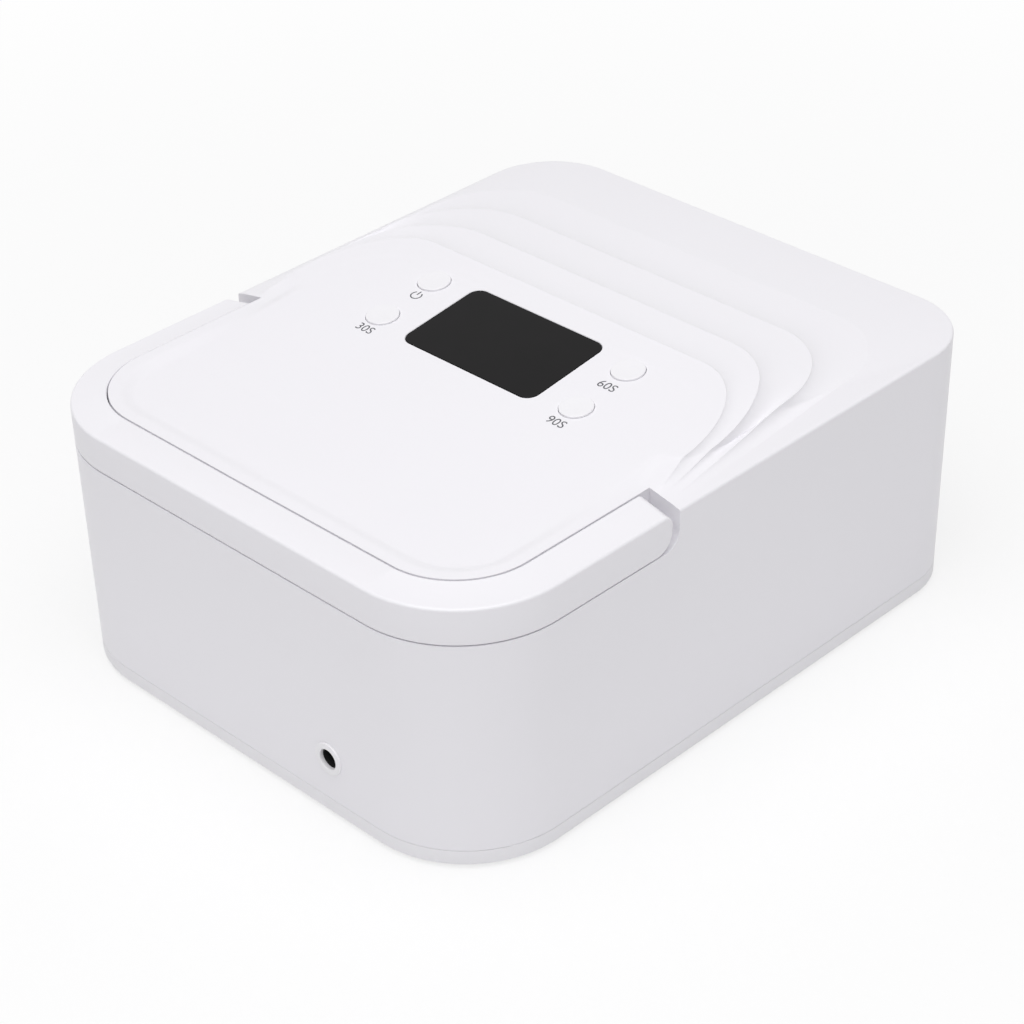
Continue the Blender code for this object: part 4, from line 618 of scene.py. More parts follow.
def rod(side, radius, start, end):
    """A round bar along X on the handle's hinge axis, on one side."""
    made = turned_piece("rod", [(radius, start), (radius, end)], points=40)
    made.data.transform(Matrix.Translation((0, PIVOT_PLACE, PIVOT_HEIGHT))
                        @ Matrix.Rotation(side * math.pi / 2, 4, "Y"))
    return made


def peg(place, radius, low, high, points=32):
    """An upright round bar at a place, to add or to cut."""
    return turned_piece("peg", [(radius, low), (radius, high)], (*place, 0), points=points)


def board_peg(place, radius, low, high, points):
    """A round bar square to the panel, to add or to cut."""
    return turned_piece("board_peg", [(radius, low), (radius, high)], *on_panel(*place), points=points)


housing = body_block()
recess = arm_bar("recess", NOTCH_PLACE, HANDLE_WIDTH, -OVERRUN, NOTCH_ROUND, RECESS_FLOOR,
                 RIM_HEIGHT + PANEL_RISE)
cut(housing, hole_tools() + [arch_tool()] + hollow_tools())
inner_wall = HALF_WIDTH - HANDLE_WIDTH
boss_face = inner_wall - WALL - BOSS_LENGTH
post_tops = [RECESS_FLOOR - WALL / 2 if y > 0 else RIM_HEIGHT - PANEL_THICKNESS / 2 for x, y in SCREW_PLACES]
stays = [peg(place, 0.0040, FLOOR_TOP + GAP, top) for place, top in zip(SCREW_PLACES, post_tops)]
stays += [rod(side, 0.0048, boss_face, inner_wall - WALL / 2) for side in (1, -1)]
stays += [board_peg(place, 0.0030, BOARD_POST_END, -PANEL_THICKNESS / 2, 32) for place in BOARD_POST_PLACES]
cut(housing, stays, "UNION")
pilots = [peg(place, 0.0017, 0.001, FLOOR_TOP + 0.0103, 24) for place in SCREW_PLACES]
pilots += [board_peg(place, 0.0012, BOARD_POST_END - 0.0006, -0.0024, 24) for place in BOARD_POST_PLACES]
pilots += [rod(side, PIN_RADIUS + PIN_FIT, boss_face - 0.001, inner_wall + OVERRUN) for side in (1, -1)]
cut(housing, pilots + [recess])


def satin_plastic(name, colour, roughness=0.34):
    """Moulded ABS: a spark-eroded grain too fine to see singly, with broad faint flow marks."""
    made = Finish(name, colour, roughness, Coat_Weight=0.0)
    flow = made.noise(0.060, 3.0)
    grain = made.noise(0.0009, 3.0)
    shade = tuple(c * 0.985 for c in colour)
    made.set("Base Color", made.tint(shade, colour, flow))
    made.set("Roughness", flow * 0.05 + grain * 0.06 + (roughness - 0.055))
    made.set("Normal", made.relief(grain, 0.000012))
    return made


coated(housing, satin_plastic("satin_white_shell", (0.885, 0.872, 0.910)), 28)
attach(housing, "housing")
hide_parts("upper_housing")


# Handle
# A U-shaped bar of the same white ABS, hollow underneath, that swings up on two steel pins. Its
# top carries on the outer deck with a soft outer edge; the ends of its arms are rounded.

HANDLE_GAP = 0.0004
HANDLE_EDGE, HANDLE_SMALL_EDGE = 0.0009, 0.0004
ARM_TOP_RADIUS = 0.0030
HANDLE_WALL = 0.0022
INSERT_PLACE = PIVOT_PLACE + 0.018
PIN_DEPTH = 0.0065
PIN_HOLE_START = 0.0024


def quarter(centre_inset, centre_height, radius, start, end, points):
    """Points of an arc across the handle as (inset, height), by angles from outwards to up."""
    angle = np.radians(np.linspace(start, end, points))
    return np.column_stack([centre_inset - radius * np.cos(angle), centre_height + radius * np.sin(angle)])


def handle_section(crown_height):
    """One section across the handle as (inset, height over the rim), from the inner lower edge.

    The wall leans by the housing's draft, the top rises evenly from its outer edge to the crown,
    and the four edges are quarter circles.
    """
    inner = HANDLE_WIDTH - HANDLE_GAP
    lean = DRAFT * HANDLE_HEIGHT / (RIM_HEIGHT - SHELL_BOTTOM)
    top = crown_height * inner / HANDLE_WIDTH
    soft, small = HANDLE_EDGE, HANDLE_SMALL_EDGE
    rise = math.degrees(math.atan2(top, inner))
    return np.concatenate([
        quarter(inner - small, small - HANDLE_HEIGHT, small, 180, 270, 5),
        quarter(lean + small, small - HANDLE_HEIGHT, small, -90, 0, 5),
        quarter(soft, -soft, soft, 0, 90 + rise, 12),
        quarter(inner - small, top - small, small, 90 + rise, 180, 5),
    ])


def handle_bar():
    """The section carried along the U, its ends lifted below and dropped above like circles."""
    lead = ARM_END_RADIUS * (1 - np.cos(np.linspace(0, math.pi / 2, 24)))
    s_lead = 3 + (ARM_END + lead - NOTCH_PLACE) / (HALF_LENGTH - BACK_CORNER - NOTCH_PLACE)
    s = np.concatenate([s_lead, along[along > s_lead[-1] + 0.02]])
    past = np.concatenate([lead, np.full(len(s) - len(lead), ARM_END_RADIUS)])
    lift = ARM_END_RADIUS - np.sqrt(np.maximum(ARM_END_RADIUS**2 - (ARM_END_RADIUS - past) ** 2, 0.0))
    short = np.minimum(past, ARM_TOP_RADIUS)
    drop = ARM_TOP_RADIUS - np.sqrt(np.maximum(ARM_TOP_RADIUS**2 - (ARM_TOP_RADIUS - short) ** 2, 0.0))
    crowns = crown(s)
    rings = []
    for station in range(len(s)):
        section = handle_section(crowns[station])
        low, high = -HANDLE_HEIGHT + lift[station], section[:, 1].max() - drop[station]
        share = (section[:, 1] - section[:, 1].min()) / np.ptp(section[:, 1])
        height = np.minimum(section[:, 1] + np.where(share > 0.5, -drop[station], lift[station]), high)
        height = np.maximum(height, low)
        outer = inset_outline(0.0, s[station:station + 1])[0]
        inner = inset_outline(HANDLE_WIDTH, s[station:station + 1])[0]
        plan = outer + (inner - outer) * (section[:, :1] / HANDLE_WIDTH)
        rings.append(np.column_stack([plan, RIM_HEIGHT + height]))
    mirrored = [ring * (-1, 1, 1) for ring in rings[-2::-1]]
    return lofted("handle", rings + mirrored, smooth_degrees=40)


handle = handle_bar()
pin_holes = [rod(side, PIN_RADIUS + GAP, inner_wall - PIN_HOLE_START, inner_wall + HANDLE_GAP + PIN_DEPTH + GAP)
             for side in (1, -1)]
groove = arm_bar("groove", INSERT_PLACE, HANDLE_WIDTH - HANDLE_GAP - HANDLE_WALL, HANDLE_WALL, GAP,
                 HANDLE_BOTTOM - OVERRUN, RIM_HEIGHT - HANDLE_WALL)
cut(handle, [groove] + pin_holes)
white_handle = satin_plastic("satin_white_handle", (0.89, 0.877, 0.915), 0.36)
coated(handle, white_handle, 28)
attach(handle, "handle")
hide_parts("handle_shell")


# Bottom cover
# A shallow ABS tray under the housing: a flat floor, a rim with a rounded lower edge that makes
# the seam, and a tongue that fits inside the housing's wall, left out at the hand opening.

FOOT_STAND = 0.0012
COVER_TOP = 0.0064
COVER_EDGE = 0.00015
TONGUE = 0.0016
TONGUE_TOP = 0.0092
TONGUE_EDGE = 0.0004
COVER_ROUND = 0.0010
MOUTH_MARGIN, MOUTH_DEPTH = 0.0050, 0.013
BELOW = -0.001
SEAT_RADIUS, SEAT_FLARE = 0.0031, 0.0006
POCKET_DEPTH = 0.0013
PILOT_DEPTH = 0.0016
FOOT_PLACES = [(x, y) for y in (-0.097, 0.097) for x in (0.0652, -0.0652)]
LUG_PLACES = [(x, y) for y in (-0.091, 0.044) for x in (0.0785, -0.0785)]
HOLDER_SCREW_PLACES = [(0.0737, 0.0813), (-0.0737, 0.0813)]
CHARGE_POST_PLACES = [(-0.0372 + reach, 0.1010) for reach in (-0.016, 0.016)]
CHARGE_POST_TOP = 0.0142
CORNER_NAMES = ("front_right", "front_left", "back_right", "back_left")

rim_rings = [ring_at(DRAFT + COVER_ROUND * (1 - math.sin(t)), FOOT_STAND + COVER_ROUND * (1 - math.cos(t)))
             for t in np.linspace(0, math.pi / 2, 7)]
rim_rings += [ring_at(DRAFT, COVER_TOP - COVER_EDGE), ring_at(DRAFT + COVER_EDGE, COVER_TOP)]
cover = lofted("bottom_cover_tray", rim_rings)
tongue_outer = DRAFT + WALL + GAP
tongue_inner = tongue_outer + TONGUE
cut(cover, [lofted("tray_room", [ring_at(tongue_inner, z) for z in (FLOOR_TOP, COVER_TOP + OVERRUN)])])
tongue_low = FLOOR_TOP - GAP
tongue_levels = [(tongue_outer, tongue_low), (tongue_outer, TONGUE_TOP - TONGUE_EDGE),
                 (tongue_outer + TONGUE_EDGE, TONGUE_TOP), (tongue_inner - TONGUE_EDGE, TONGUE_TOP),
                 (tongue_inner, TONGUE_TOP - TONGUE_EDGE), (tongue_inner, tongue_low)]
tongue = looped("tongue", [ring_at(inset, height) for inset, height in tongue_levels])
mouth = rounded_slab("mouth", OPENING_WIDTH / 2 + MOUTH_MARGIN, MOUTH_DEPTH, 0.0005,
                     [(0, COVER_TOP), (0, TONGUE_TOP + OVERRUN)], (0, -HALF_LENGTH + MOUTH_DEPTH, 0), points=2)
cut(tongue, [mouth])
posts = [peg(place, 0.0030, FLOOR_TOP - GAP, CHARGE_POST_TOP) for place in CHARGE_POST_PLACES]
cut(cover, [tongue] + posts, "UNION")
seat = [(SEAT_RADIUS + SEAT_FLARE, BELOW), (SEAT_RADIUS + SEAT_FLARE, FOOT_STAND - 0.00005),
        (SEAT_RADIUS, FOOT_STAND + 0.0004), (SEAT_RADIUS, FOOT_STAND + POCKET_DEPTH)]
pockets = [peg(place, 0.0017, BELOW, FLOOR_TOP + OVERRUN) for place in SCREW_PLACES]
pockets += [turned_piece("seat", seat, (*place, 0), points=48) for place in SCREW_PLACES]
pockets += [peg(place, 0.0068, BELOW, FOOT_STAND + POCKET_DEPTH, 64) for place in FOOT_PLACES]
pockets += [peg(place, 0.0012, FLOOR_TOP - PILOT_DEPTH, FLOOR_TOP + OVERRUN, 24)
            for place in LUG_PLACES + HOLDER_SCREW_PLACES]
cut(cover, pockets)
coated(cover, satin_plastic("satin_white_cover", (0.875, 0.865, 0.895), 0.42), 28)
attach(cover, "housing")
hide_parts("bottom_cover")


# Feet and bottom screws
# Four grey rubber buttons pressed into round recesses, with a dished sole, and four zinc-plated
# pan-head screws in sunk seats, each with a cross recess and a rolled thread.

FOOT_RADIUS = 0.0065
FOOT_TOP = 0.0022
SCREW_HEAD_RADIUS, SCREW_HEAD_HEIGHT = 0.0028, 0.0013
SCREW_RADIUS, SCREW_LENGTH = 0.0014, 0.0100

rubber = Finish("grey_rubber", (0.30, 0.30, 0.31), 0.8)
rubber.vary(rubber.noise(0.0012, 4.0), (0.27, 0.27, 0.28), (0.34, 0.34, 0.345), 0.15, 0.72, 0.00003)
sole = [(0.0044, 0.0003), (0.0048, 0.0001), (0.0053, 0.0), (FOOT_RADIUS - 0.0007, 0.0),
        (FOOT_RADIUS - 0.0002, 0.0002), (FOOT_RADIUS, 0.0007), (FOOT_RADIUS, FOOT_TOP)]
for corner, place in zip(CORNER_NAMES, FOOT_PLACES):
    foot = turned_piece("foot_" + corner, sole, (*place, 0))
    coated(foot, rubber)
    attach(foot, "housing")
    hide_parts("rubber_foot_" + corner)


def metal(name, colour, roughness, size=0.0006):
    """Plated metal: fine scratches drawn out along one way, and patches a little duller."""
    made = Finish(name, colour, roughness, 1.0)
    patch = made.noise(0.004, 3.0)
    scratch = made.noise(size, 4.0, (1.0, 1.0, 0.08))
    made.set("Base Color", made.tint(tuple(c * 0.88 for c in colour), colour, patch))
    made.set("Roughness", patch * 0.12 + scratch * 0.08 + (roughness - 0.08))
    made.set("Normal", made.relief(scratch, 0.000006))
    return made


def pan_screw(name, place, low):
    """A cross-head screw that points up: a domed pan head and a shank with rings for its thread."""
    wide, radius, top = SCREW_HEAD_RADIUS, SCREW_RADIUS, low + SCREW_HEAD_HEIGHT
    profile = [(wide * (0.55 + 0.45 * math.sin(t)), low + SCREW_HEAD_HEIGHT * 0.75 * (1 - math.cos(t)))
               for t in np.linspace(0, math.pi / 2, 8)]
    profile += [(wide, top), (radius, top)]
    pitch = radius * 0.8
    turns = int(SCREW_LENGTH / pitch) - 1
    profile += [(radius * share, top + pitch * (k + step)) for k in range(turns)
                for share, step in ((0.78, 0.15), (0.78, 0.45), (1.0, 0.7), (1.0, 0.8))]
    profile += [(radius * 0.75, top + SCREW_LENGTH - pitch * 0.5), (radius * 0.3, top + SCREW_LENGTH)]
    levels = [(0, low - 0.0005), (0, low + SCREW_HEAD_HEIGHT * 0.15),
              (wide * 0.10, low + SCREW_HEAD_HEIGHT * 0.7)]
    slots = [rounded_slab("recess", wide * share_x, wide * share_y, wide * 0.05, levels, (*place, 0), points=3)
             for share_x, share_y in ((0.55, 0.13), (0.13, 0.55))]
    return cut(turned_piece(name, profile, (*place, 0), points=40), slots)


zinc = metal("zinc_plate", (0.62, 0.62, 0.63), 0.30)
for corner, place in zip(CORNER_NAMES, SCREW_PLACES):
    screw = pan_screw("cover_screw_" + corner, place, FOOT_STAND - GAP)
    coated(screw, zinc)
    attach(screw, "housing")
    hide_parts("bottom_screw_" + corner)


# Buttons
# Four loose ABS caps that stand just proud of the panel in their round holes. Each has a flange
# that keeps it in, a stem that presses its switch, and a top dished for the fingertip.

CAP_PROUD = 0.0006
CAP_EDGE = 0.0003
DISH_DEPTH = 0.00018
DISH_SHARE = 0.94
STEM_RADIUS, STEM_END = 0.0016, -0.0049
FLANGE_REACH, FLANGE_LOW, FLANGE_TOP = 0.0014, -0.0042, -0.0029

flange_radius = BUTTON_RADIUS + FLANGE_REACH
cap_profile = [(STEM_RADIUS, STEM_END), (STEM_RADIUS, FLANGE_LOW), (flange_radius, FLANGE_LOW),
               (flange_radius, FLANGE_TOP), (BUTTON_RADIUS, FLANGE_TOP)]
cap_profile += [(BUTTON_RADIUS - CAP_EDGE * (1 - math.cos(t)), CAP_PROUD - CAP_EDGE * (1 - math.sin(t)))
                for t in np.linspace(0, math.pi / 2, 7)]
cap_profile += [(BUTTON_RADIUS * share, CAP_PROUD - DISH_DEPTH * (1 - (share / DISH_SHARE) ** 2) ** 2)
                for share in np.linspace(0.90, 0.02, 14)]
white_button = satin_plastic("satin_white_button", (0.89, 0.88, 0.91), 0.30)
for name, (x, y) in BUTTON_PLACES.items():
    cap = turned_piece("cap_" + name, cap_profile, *on_panel(x, y), points=96)
    coated(cap, white_button)
    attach(cap, "press_" + name)
    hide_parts("button_" + name)


# Printed marks
# Dark grey pad-printed marks on the panel: the seconds of each time button and the usual sign
# for on and off. They are read from the side of the power socket, and the ink is 0.02 mm thick.

INK_DEPTH = 0.00002
INK_LIFT = 0.00001
MARK_HEIGHT = 0.0033
MARKS = {"30": (0.0405, 0.01935), "60": (-0.04135, -0.0020), "90": (-0.0412, 0.01985)}
SIGN_PLACE = (0.0405, -0.0027)
SIGN_RADIUS, SIGN_STROKE = 0.0018, 0.00042
SIGN_GAP_DEGREES = 38
PRINT_TURN = Matrix.Rotation(-PANEL_SLOPE, 4, "X") @ Matrix.Rotation(math.pi, 4, "Z")

ink = Finish("grey_ink", (0.10, 0.10, 0.11), 0.55)
ink.vary(ink.noise(0.00025, 2.0), (0.07, 0.07, 0.08), (0.13, 0.13, 0.145), 0.1, 0.5)


def print_on_panel(made, x, y):
    """Lay a flat piece drawn round its own middle on the panel, to be read from the socket's side."""
    made.data.transform(Matrix.Translation(panel_place(x, y, INK_LIFT)) @ PRINT_TURN)
    coated(made, ink)
    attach(made, "housing")


def lettering(name, words, height):
    """Words as a thin closed mesh round their middle, from the built-in typeface."""
    data = bpy.data.curves.new(name, "FONT")
    data.body = words
    data.size = 1.0
    data.align_x = "CENTER"
    data.align_y = "CENTER"
    data.resolution_u = 6
    shape = bpy.data.objects.new(name, data)
    bpy.context.scene.collection.objects.link(shape)
    mesh = bpy.data.meshes.new_from_object(shape.evaluated_get(bpy.context.evaluated_depsgraph_get()))
    bpy.data.objects.remove(shape)
    corners = np.empty(len(mesh.vertices) * 3)
    mesh.vertices.foreach_get("co", corners)
    corners = corners.reshape(-1, 3)
    scale = height / np.ptp(corners[:, 1])
    corners -= (corners.max(0) + corners.min(0)) / 2
    corners *= (scale, scale, 0.0)
    mesh.vertices.foreach_set("co", corners.ravel())
    made = bpy.data.objects.new(name, mesh)
    bpy.context.scene.collection.objects.link(made)
    thick = made.modifiers.new("ink", "SOLIDIFY")
    thick.thickness = INK_DEPTH
    thick.offset = 1.0
    return made


def joined(name, parts):
    """Several meshes that don't touch, as one object."""
    bpy.ops.object.select_all(action="DESELECT")
    for part in parts:
        part.select_set(True)
    bpy.context.view_layer.objects.active = parts[0]
    bpy.ops.object.join()
    parts[0].name = name
    parts[0].select_set(False)
    return parts[0]


def flat_plate(outline):
    """A plate of the ink's thickness from a closed (x, y) outline."""
    return lofted("plate", [np.column_stack([outline, np.full(len(outline), z)]) for z in (0.0, INK_DEPTH)])


def power_sign(radius, stroke):
    """An open ring with a bar in its gap, as one flat piece of even stroke."""
    arc = np.radians(np.linspace(90 + SIGN_GAP_DEGREES, 450 - SIGN_GAP_DEGREES, 49))
    circle = np.column_stack([np.cos(arc), np.sin(arc)])
    ring = np.concatenate([circle * (radius - stroke / 2), circle[::-1] * (radius + stroke / 2)])
    bar = [(-stroke / 2, radius * 0.15), (stroke / 2, radius * 0.15),
           (stroke / 2, radius * 1.25), (-stroke / 2, radius * 1.25)]
    return joined("mark_power", [flat_plate(ring), flat_plate(np.array(bar))])


for name, (x, y) in MARKS.items():
    print_on_panel(lettering("mark_" + name, name + "S", MARK_HEIGHT), x, y)
print_on_panel(power_sign(SIGN_RADIUS, SIGN_STROKE), *SIGN_PLACE)


# Display window
# A smoked acrylic pane let into the panel, flush and glossy. The display behind it is off, so it
# looks black all over, with only a trace of the room in it.

PANE_LEVELS = [(0, -0.0013), (0, -0.00012), (0.00012, 0)]

window = rounded_slab("window", DISPLAY_SIZE[0] / 2, DISPLAY_SIZE[1] / 2, DISPLAY_CORNER, PANE_LEVELS,
                      *on_panel(0, 0), points=16)
smoked = Finish("smoked_acrylic", (0.006, 0.006, 0.006), 0.10, Specular_IOR_Level=0.10)
smoked.vary(smoked.noise(0.012, 2.0), (0.004, 0.004, 0.004), (0.007, 0.006, 0.007), 0.05, 0.08)
coated(window, smoked)
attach(window, "housing")
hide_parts("display_window")


# Power socket
# A barrel socket behind the back wall: a pale ring on the outside with a rounded lip, a black
# moulded body with its bore, and a brass centre pin inside.

RING_PROFILE = [(0.0053, -0.0007), (0.0053, -0.00022), (0.00524, -0.00008), (0.0051, 0.0), (0.0036, 0.0),
                (0.0034, -0.00006), (0.0033, -0.00025), (0.0033, -0.0013), (0.0043, -0.0013), (0.0043, -0.0007)]
SOCKET_HALF, SOCKET_CORNER = 0.0050, 0.0006
SOCKET_LEVELS = [(0.0004, -0.0189), (0, -0.0185), (0, -0.0063), (0.0004, -0.0059)]
BARREL_PROFILE = [(0.0043, -0.0060), (0.0043, -0.0016), (0.0041, -0.0014)]
BORE_RADIUS, BORE_END = 0.0033, -0.0173
CENTRE_PIN_RADIUS, CENTRE_PIN_BACK, CENTRE_PIN_TIP = 0.0010, -0.0170, -0.0080


def turned_ring(name, profile, points=96):
    """A ring from a closed (radius, height) profile, drawn along Z and turned to look backwards."""
    angle = np.linspace(0, 2 * math.pi, points, endpoint=False)
    rings = [np.column_stack([r * np.cos(angle), r * np.sin(angle), np.full(points, z)]) for r, z in profile]
    return moved(looped(name, rings), SOCKET_PLACE, BACKWARDS)


bezel = turned_ring("socket_ring", RING_PROFILE)
coated(bezel, satin_plastic("satin_white_ring", (0.885, 0.875, 0.90), 0.30))
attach(bezel, "housing")
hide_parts("socket_bezel")
black_mould = Finish("black_mould", (0.02, 0.02, 0.02), 0.4)
black_mould.vary(black_mould.noise(0.0004, 3.0), (0.014, 0.014, 0.014), (0.028, 0.028, 0.029),
                 0.15, 0.35, 0.00001)
socket = rounded_slab("socket_body", SOCKET_HALF, SOCKET_HALF, SOCKET_CORNER, SOCKET_LEVELS)
cut(socket, [turned_piece("barrel", BARREL_PROFILE)], "UNION")
cut(socket, [turned_piece("bore", [(BORE_RADIUS, BORE_END), (BORE_RADIUS, OVERRUN)])])
moved(socket, SOCKET_PLACE, BACKWARDS)
coated(socket, black_mould, 30)
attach(socket, "housing")
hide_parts("dc_socket")
pin_profile = [(CENTRE_PIN_RADIUS, CENTRE_PIN_BACK), (CENTRE_PIN_RADIUS, CENTRE_PIN_TIP)]
pin_profile += [(0.0006 + 0.0004 * math.cos(t), CENTRE_PIN_TIP + 0.0005 * math.sin(t))
                for t in np.linspace(0, math.pi / 2, 8)[1:]]
pin = turned_piece("socket_centre_pin", pin_profile, SOCKET_PLACE, BACKWARDS, points=40)
coated(pin, metal("bright_brass", (0.80, 0.62, 0.30), 0.30))
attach(pin, "housing")
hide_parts("socket_pin")


# Lining of the hand chamber
# One thin white polystyrene trough, glossy so that it throws the light back: upright sides,
# leaning shoulders and a flat roof, with round holes for the light beads and the hand sensor. A
# lip at its front closes the corners behind the arch.

LINER_WALL = 0.0016
LINER_FRONT = -HALF_LENGTH + 0.0048
LINER_BACK = 0.068
LINER_LOW = 0.0037
LINER_CORNER = 0.0050
LINER_HALF, ROOF_HALF = 0.0755, 0.0600
LINER_SHOULDER, LINER_ROOF = 0.0300, 0.0660
LINER_LEAN = math.atan2(LINER_HALF - ROOF_HALF, LINER_ROOF - LINER_SHOULDER)
LIP = 0.0022
LUG_SIZE, LUG_CORNER, LUG_SHIFT = (0.0038, 0.0030), 0.0006, 0.0008
BEAD_PITCH, BEAD_COLUMN = 0.030012, 0.036
BEAD_ROWS = [-0.0235 + row * BEAD_PITCH for row in (-2, -1, 0, 1, 2)]
SENSOR_PLACE = -HALF_LENGTH + 0.0155
BEAD_HOLE = [(0.0034, -0.0026), (0.0034, -0.0003), (0.0037, 0.0000), (0.0045, 0.0008)]
SENSOR_HOLE = [(0.0029, -0.0026), (0.0029, 0.0010)]


def knee_and_brow(shrink):
    """The lower and upper corner of the leaning shoulder as (x, z), set in by shrink."""
    return (np.array((LINER_HALF - shrink, LINER_SHOULDER - shrink * math.tan(LINER_LEAN / 2))),
            np.array((ROOF_HALF - shrink * math.tan(math.pi / 4 - LINER_LEAN / 2), LINER_ROOF - shrink)))


def trough(shrink, low, points=7):
    """Outline of the trough as (x, z), set in by shrink: its corners are arcs."""
    knee, brow = knee_and_brow(shrink)
    side = [np.array([(LINER_HALF - shrink, low)])]
    radius = LINER_CORNER - shrink
    for corner, first, last in ((knee, 0.0, LINER_LEAN), (brow, LINER_LEAN, math.pi / 2)):
        middle = (first + last) / 2
        towards = np.array((math.cos(middle), math.sin(middle)))
        centre = corner - towards * radius / math.cos((last - first) / 2)
        t = np.linspace(first, last, points)
        side.append(centre + radius * np.column_stack([np.cos(t), np.sin(t)]))
    side = np.concatenate(side)
    return np.concatenate([side, side[::-1] * (-1, 1)])


def along_y(name, outline, front, behind):
    """A solid from an (x, z) outline carried along Y."""
    return lofted(name, [standing(outline, y) for y in (front, behind)])


def roof_frame(x, y):
    """Matrix that lays a piece drawn along Z on the lining's roof, with Z into the chamber."""
    return Matrix.Translation((x, y, LINER_ROOF - LINER_WALL)) @ Matrix.Rotation(math.pi, 4, "X")


def chamber_frames():
    """Matrices that lay each bead on the lining's inside, with Z into the chamber."""
    frames = {"top": [roof_frame(column * BEAD_COLUMN, y) for y in BEAD_ROWS for column in (-1, 0, 1)]}
    knee, brow = (Vector(corner) for corner in knee_and_brow(LINER_WALL))
    middle, way = (knee + brow) / 2, (brow - knee).normalized()
    for side, name in ((1, "right"), (-1, "left")):
        inwards = Vector((-side * way.y, 0, way.x))
        turn = Vector((0, 0, 1)).rotation_difference(inwards).to_matrix().to_4x4()
        frames[name] = [Matrix.Translation((side * middle.x, y, middle.y)) @ turn for y in BEAD_ROWS]
    return frames


def carried(name, profile, place, points=40, smooth_degrees=30.0):
    """A turned solid carried to a place by a matrix."""
    made = turned_piece(name, profile, points=points, smooth_degrees=smooth_degrees)
    made.data.transform(place)
    return made


CHAMBER_FRAMES = chamber_frames()

liner = along_y("chamber_lining", trough(0.0, LINER_LOW), LINER_FRONT, LINER_BACK + LINER_WALL)
lug_levels = [(0, LINER_LOW), (0, 0.0057), (0.0002, 0.0059)]
lugs = [rounded_slab("lug", *LUG_SIZE, LUG_CORNER, lug_levels, (x - math.copysign(LUG_SHIFT, x), y, 0),
                     points=4) for x, y in LUG_PLACES]
inside = along_y("inside", trough(LINER_WALL, 0.0010), LINER_FRONT - OVERRUN, LINER_BACK)
step = rounded_slab("step", LINER_HALF + OVERRUN, 0.0060, 0.0004, [(0, 0.0), (0, COVER_TOP + GAP)],
                    (0, LINER_FRONT + 0.0020, 0), points=2)
lip_outline = arch_outline(LIP, OPENING_CORNER + LIP, LINER_SHOULDER - LIP, 16)
lip = along_y("lip", lip_outline, LINER_FRONT, LINER_FRONT + LINER_WALL * 0.75)
cut(liner, [lip] + lugs, "UNION")
cut(liner, [inside, step])
holes = [carried("hole", BEAD_HOLE, place, points=24) for places in CHAMBER_FRAMES.values() for place in places]
holes.append(carried("hole", SENSOR_HOLE, roof_frame(0, SENSOR_PLACE), points=24))
holes += [peg(place, 0.0012, 0.003, 0.008, 20) for place in LUG_PLACES]
cut(liner, [joined("bead_holes", holes)])
gloss_white = Finish("glossy_white_lining", (0.90, 0.90, 0.92), 0.22, Coat_Weight=0.0)
wave = gloss_white.noise(0.030, 2.0)
fine = gloss_white.noise(0.0015, 3.0)
gloss_white.set("Base Color", gloss_white.tint((0.88, 0.88, 0.90), (0.91, 0.91, 0.93), wave))
gloss_white.set("Roughness", wave * 0.06 + fine * 0.06 + 0.16)
gloss_white.set("Normal", gloss_white.relief(wave, 0.0004))
coated(liner, gloss_white, 28)
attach(liner, "housing")
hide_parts("reflector_liner")


# Light boards
# Three white aluminium-cored boards behind the lining. Each bead is a soldered package under a
# clear dome over yellow phosphor, which reaches through its hole.

BOARD_MARGIN = 0.0075
BOARD_CORNER = 0.0012
BOARD_LEVELS = [(0, -0.0033), (0, -0.0020), (0.0001, -0.0019)]
LENS_FOOT = [(0.0031, -0.0026), (0.0031, 0.0003)]

white_mask = Finish("white_board_mask", (0.80, 0.81, 0.80), 0.4)
white_mask.vary(white_mask.noise(0.006, 3.0), (0.76, 0.77, 0.76), (0.83, 0.84, 0.83), 0.1, 0.35)
phosphor = Finish("bead_lens", (0.92, 0.88, 0.62), 0.12, Coat_Weight=1.0, Coat_Roughness=0.04)
phosphor.vary(phosphor.noise(0.0016, 2.0), (0.90, 0.82, 0.42), (0.94, 0.92, 0.74), 0.05, 0.08)
lens_profile = LENS_FOOT + [(0.0003 + 0.0028 * math.cos(t), 0.0003 + 0.0021 * math.sin(t))
                            for t in np.linspace(0, math.pi / 2, 9)]
for name, places in CHAMBER_FRAMES.items():
    half_x = (BEAD_COLUMN if name == "top" else 0.0) + BOARD_MARGIN
    half_y = BEAD_PITCH * 2 + BOARD_MARGIN
    middle = sum((place.translation for place in places), Vector()) / len(places)
    board = rounded_slab("light_board_" + name, half_x, half_y, BOARD_CORNER, BOARD_LEVELS, points=5)
    board.data.transform(Matrix.Translation(middle) @ places[0].to_3x3().to_4x4())
    coated(board, white_mask)
    beads = joined("beads_" + name, [carried("bead", lens_profile, place, 32, 50) for place in places])
    coated(beads, phosphor)
    for piece in (board, beads):
        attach(piece, "housing")
        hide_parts("led_board_" + name)


# Hand rest
# A pressed plate of bright stainless steel on the floor of the chamber, with a raised bead round
# its edge and the faint lines of brushing along it.

REST_THICKNESS = 0.0008
REST_EDGE = 0.0002
REST_MARGIN = 0.0030
REST_CORNER = 0.0060
REST_BEAD_INSET, REST_BEAD_HALF, REST_BEAD_HEIGHT = 0.0020, 0.0010, 0.0006

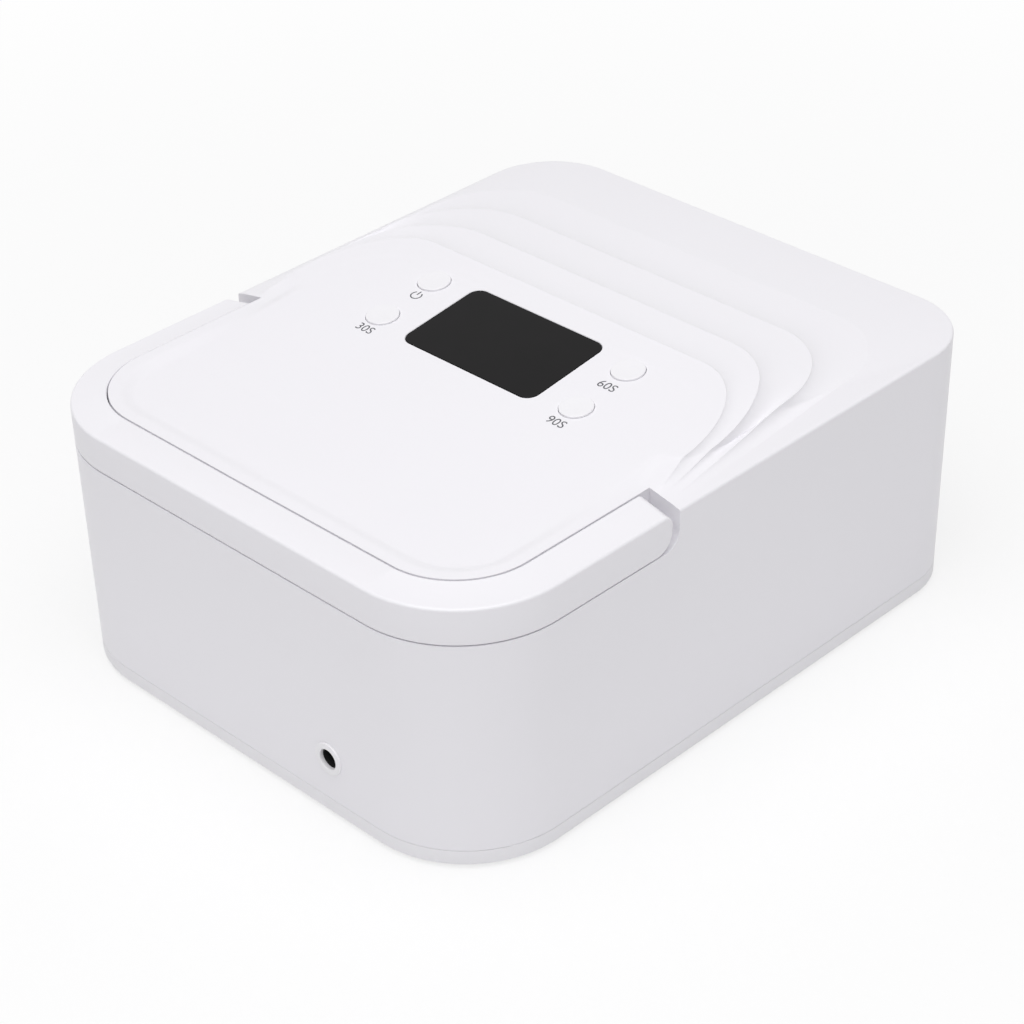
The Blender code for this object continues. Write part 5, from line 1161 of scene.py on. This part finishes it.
rest_low = FLOOR_TOP + GAP
rest_high = rest_low + REST_THICKNESS
rest_half = LINER_HALF - LINER_WALL - REST_MARGIN
rest_front, rest_back = -HALF_LENGTH + WALL + TONGUE + DRAFT + REST_MARGIN, LINER_BACK - REST_MARGIN
levels = [(0, rest_low), (0, rest_high - REST_EDGE), (REST_EDGE, rest_high)]
levels += [(REST_BEAD_INSET + REST_BEAD_HALF * (1 - math.cos(t)), rest_high + REST_BEAD_HEIGHT * math.sin(t))
           for t in np.linspace(0, math.pi, 9)]
rest = rounded_slab("hand_rest", rest_half, (rest_back - rest_front) / 2, REST_CORNER, levels,
                    (0, (rest_front + rest_back) / 2, 0), points=14)
brushed = Finish("brushed_steel", (0.78, 0.78, 0.79), 0.22, 1.0)
grain = brushed.noise(0.0004, 4.0, (1.0, 0.01, 1.0))
smear = brushed.noise(0.040, 3.0)
brushed.set("Base Color", brushed.tint((0.72, 0.72, 0.73), (0.82, 0.82, 0.83), grain))
brushed.set("Roughness", grain * 0.12 + smear * 0.08 + 0.12)
brushed.set("Normal", brushed.relief(grain, 0.000004))
coated(rest, brushed)
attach(rest, "housing")
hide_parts("hand_rest_plate")


# Inner works
# What the housing hides keeps the shape of the model: boards, battery, switches, screws, leads
# and hinge pins, each with the finish of its real material.

board_green = Finish("green_board", (0.03, 0.19, 0.10), 0.45)
maze = board_green.node("ShaderNodeTexVoronoi", {"feature": "DISTANCE_TO_EDGE", "distance": "CHEBYCHEV"},
                        {"Vector": board_green.place(), "Scale": 260.0})
stops = [(0.0, (0, 0, 0, 1)), (0.10, (1, 1, 1, 1))]
track = board_green.node("ShaderNodeValToRGB", {"stops": stops}, {0: maze})
board_green.set("Base Color", board_green.tint((0.05, 0.26, 0.14), (0.025, 0.16, 0.085), track))
board_green.set("Roughness", board_green.noise(0.003, 3.0) * 0.15 + 0.35)
board_green.set("Normal", board_green.relief(track, 0.00003))

cell_wrap = Finish("blue_cell_wrap", (0.10, 0.25, 0.50), 0.35)
wrinkle = cell_wrap.noise(0.004, 4.0, (0.3, 1.0, 1.0))
cell_wrap.vary(wrinkle, (0.08, 0.21, 0.44), (0.12, 0.28, 0.55), 0.15, 0.26, 0.00006)
dark_mould = Finish("dark_holder_mould", (0.035, 0.035, 0.04), 0.5)
dark_mould.vary(dark_mould.noise(0.0006, 3.0), (0.028, 0.028, 0.032), (0.045, 0.045, 0.05),
                0.15, 0.42, 0.00002)
tinned = metal("tinned_steel", (0.66, 0.66, 0.66), 0.32, 0.0005)
ground_steel = metal("ground_steel", (0.78, 0.78, 0.79), 0.18, 0.0004)


def lead_cover(name, colour):
    """Soft PVC insulation, a little uneven in shade and gloss."""
    made = Finish(name, colour, 0.45)
    made.vary(made.noise(0.0015, 3.0), tuple(c * 0.85 for c in colour), colour, 0.15, 0.38)
    return made


NODE_FINISHES = {
    "control_board": board_green, "charge_board": board_green, "battery_board": board_green,
    "battery_cell_left": cell_wrap, "battery_cell_right": cell_wrap,
    "battery_holder": dark_mould, "buzzer": dark_mould, "display_module": dark_mould,
    "hand_sensor": black_mould,
    "charge_lead": lead_cover("red_lead", (0.55, 0.03, 0.03)),
    "battery_lead": lead_cover("black_lead", (0.02, 0.02, 0.02)),
    "light_lead": lead_cover("white_lead", (0.80, 0.80, 0.80)),
    "socket_nut": zinc, "handle_insert": white_handle,
}
for side in ("left", "right"):
    NODE_FINISHES["hinge_pin_" + side] = ground_steel
    NODE_FINISHES["hinge_clip_" + side] = ground_steel
    NODE_FINISHES["holder_screw_" + side] = zinc
for corner in CORNER_NAMES:
    NODE_FINISHES["board_screw_" + corner] = zinc
    NODE_FINISHES["liner_screw_" + corner] = zinc
for name in BUTTON_PLACES:
    NODE_FINISHES["tact_switch_" + name] = tinned
    NODE_FINISHES["switch_plunger_" + name] = dark_mould
for name, finish in NODE_FINISHES.items():
    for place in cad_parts[name].material_slots:
        place.material = finish.material
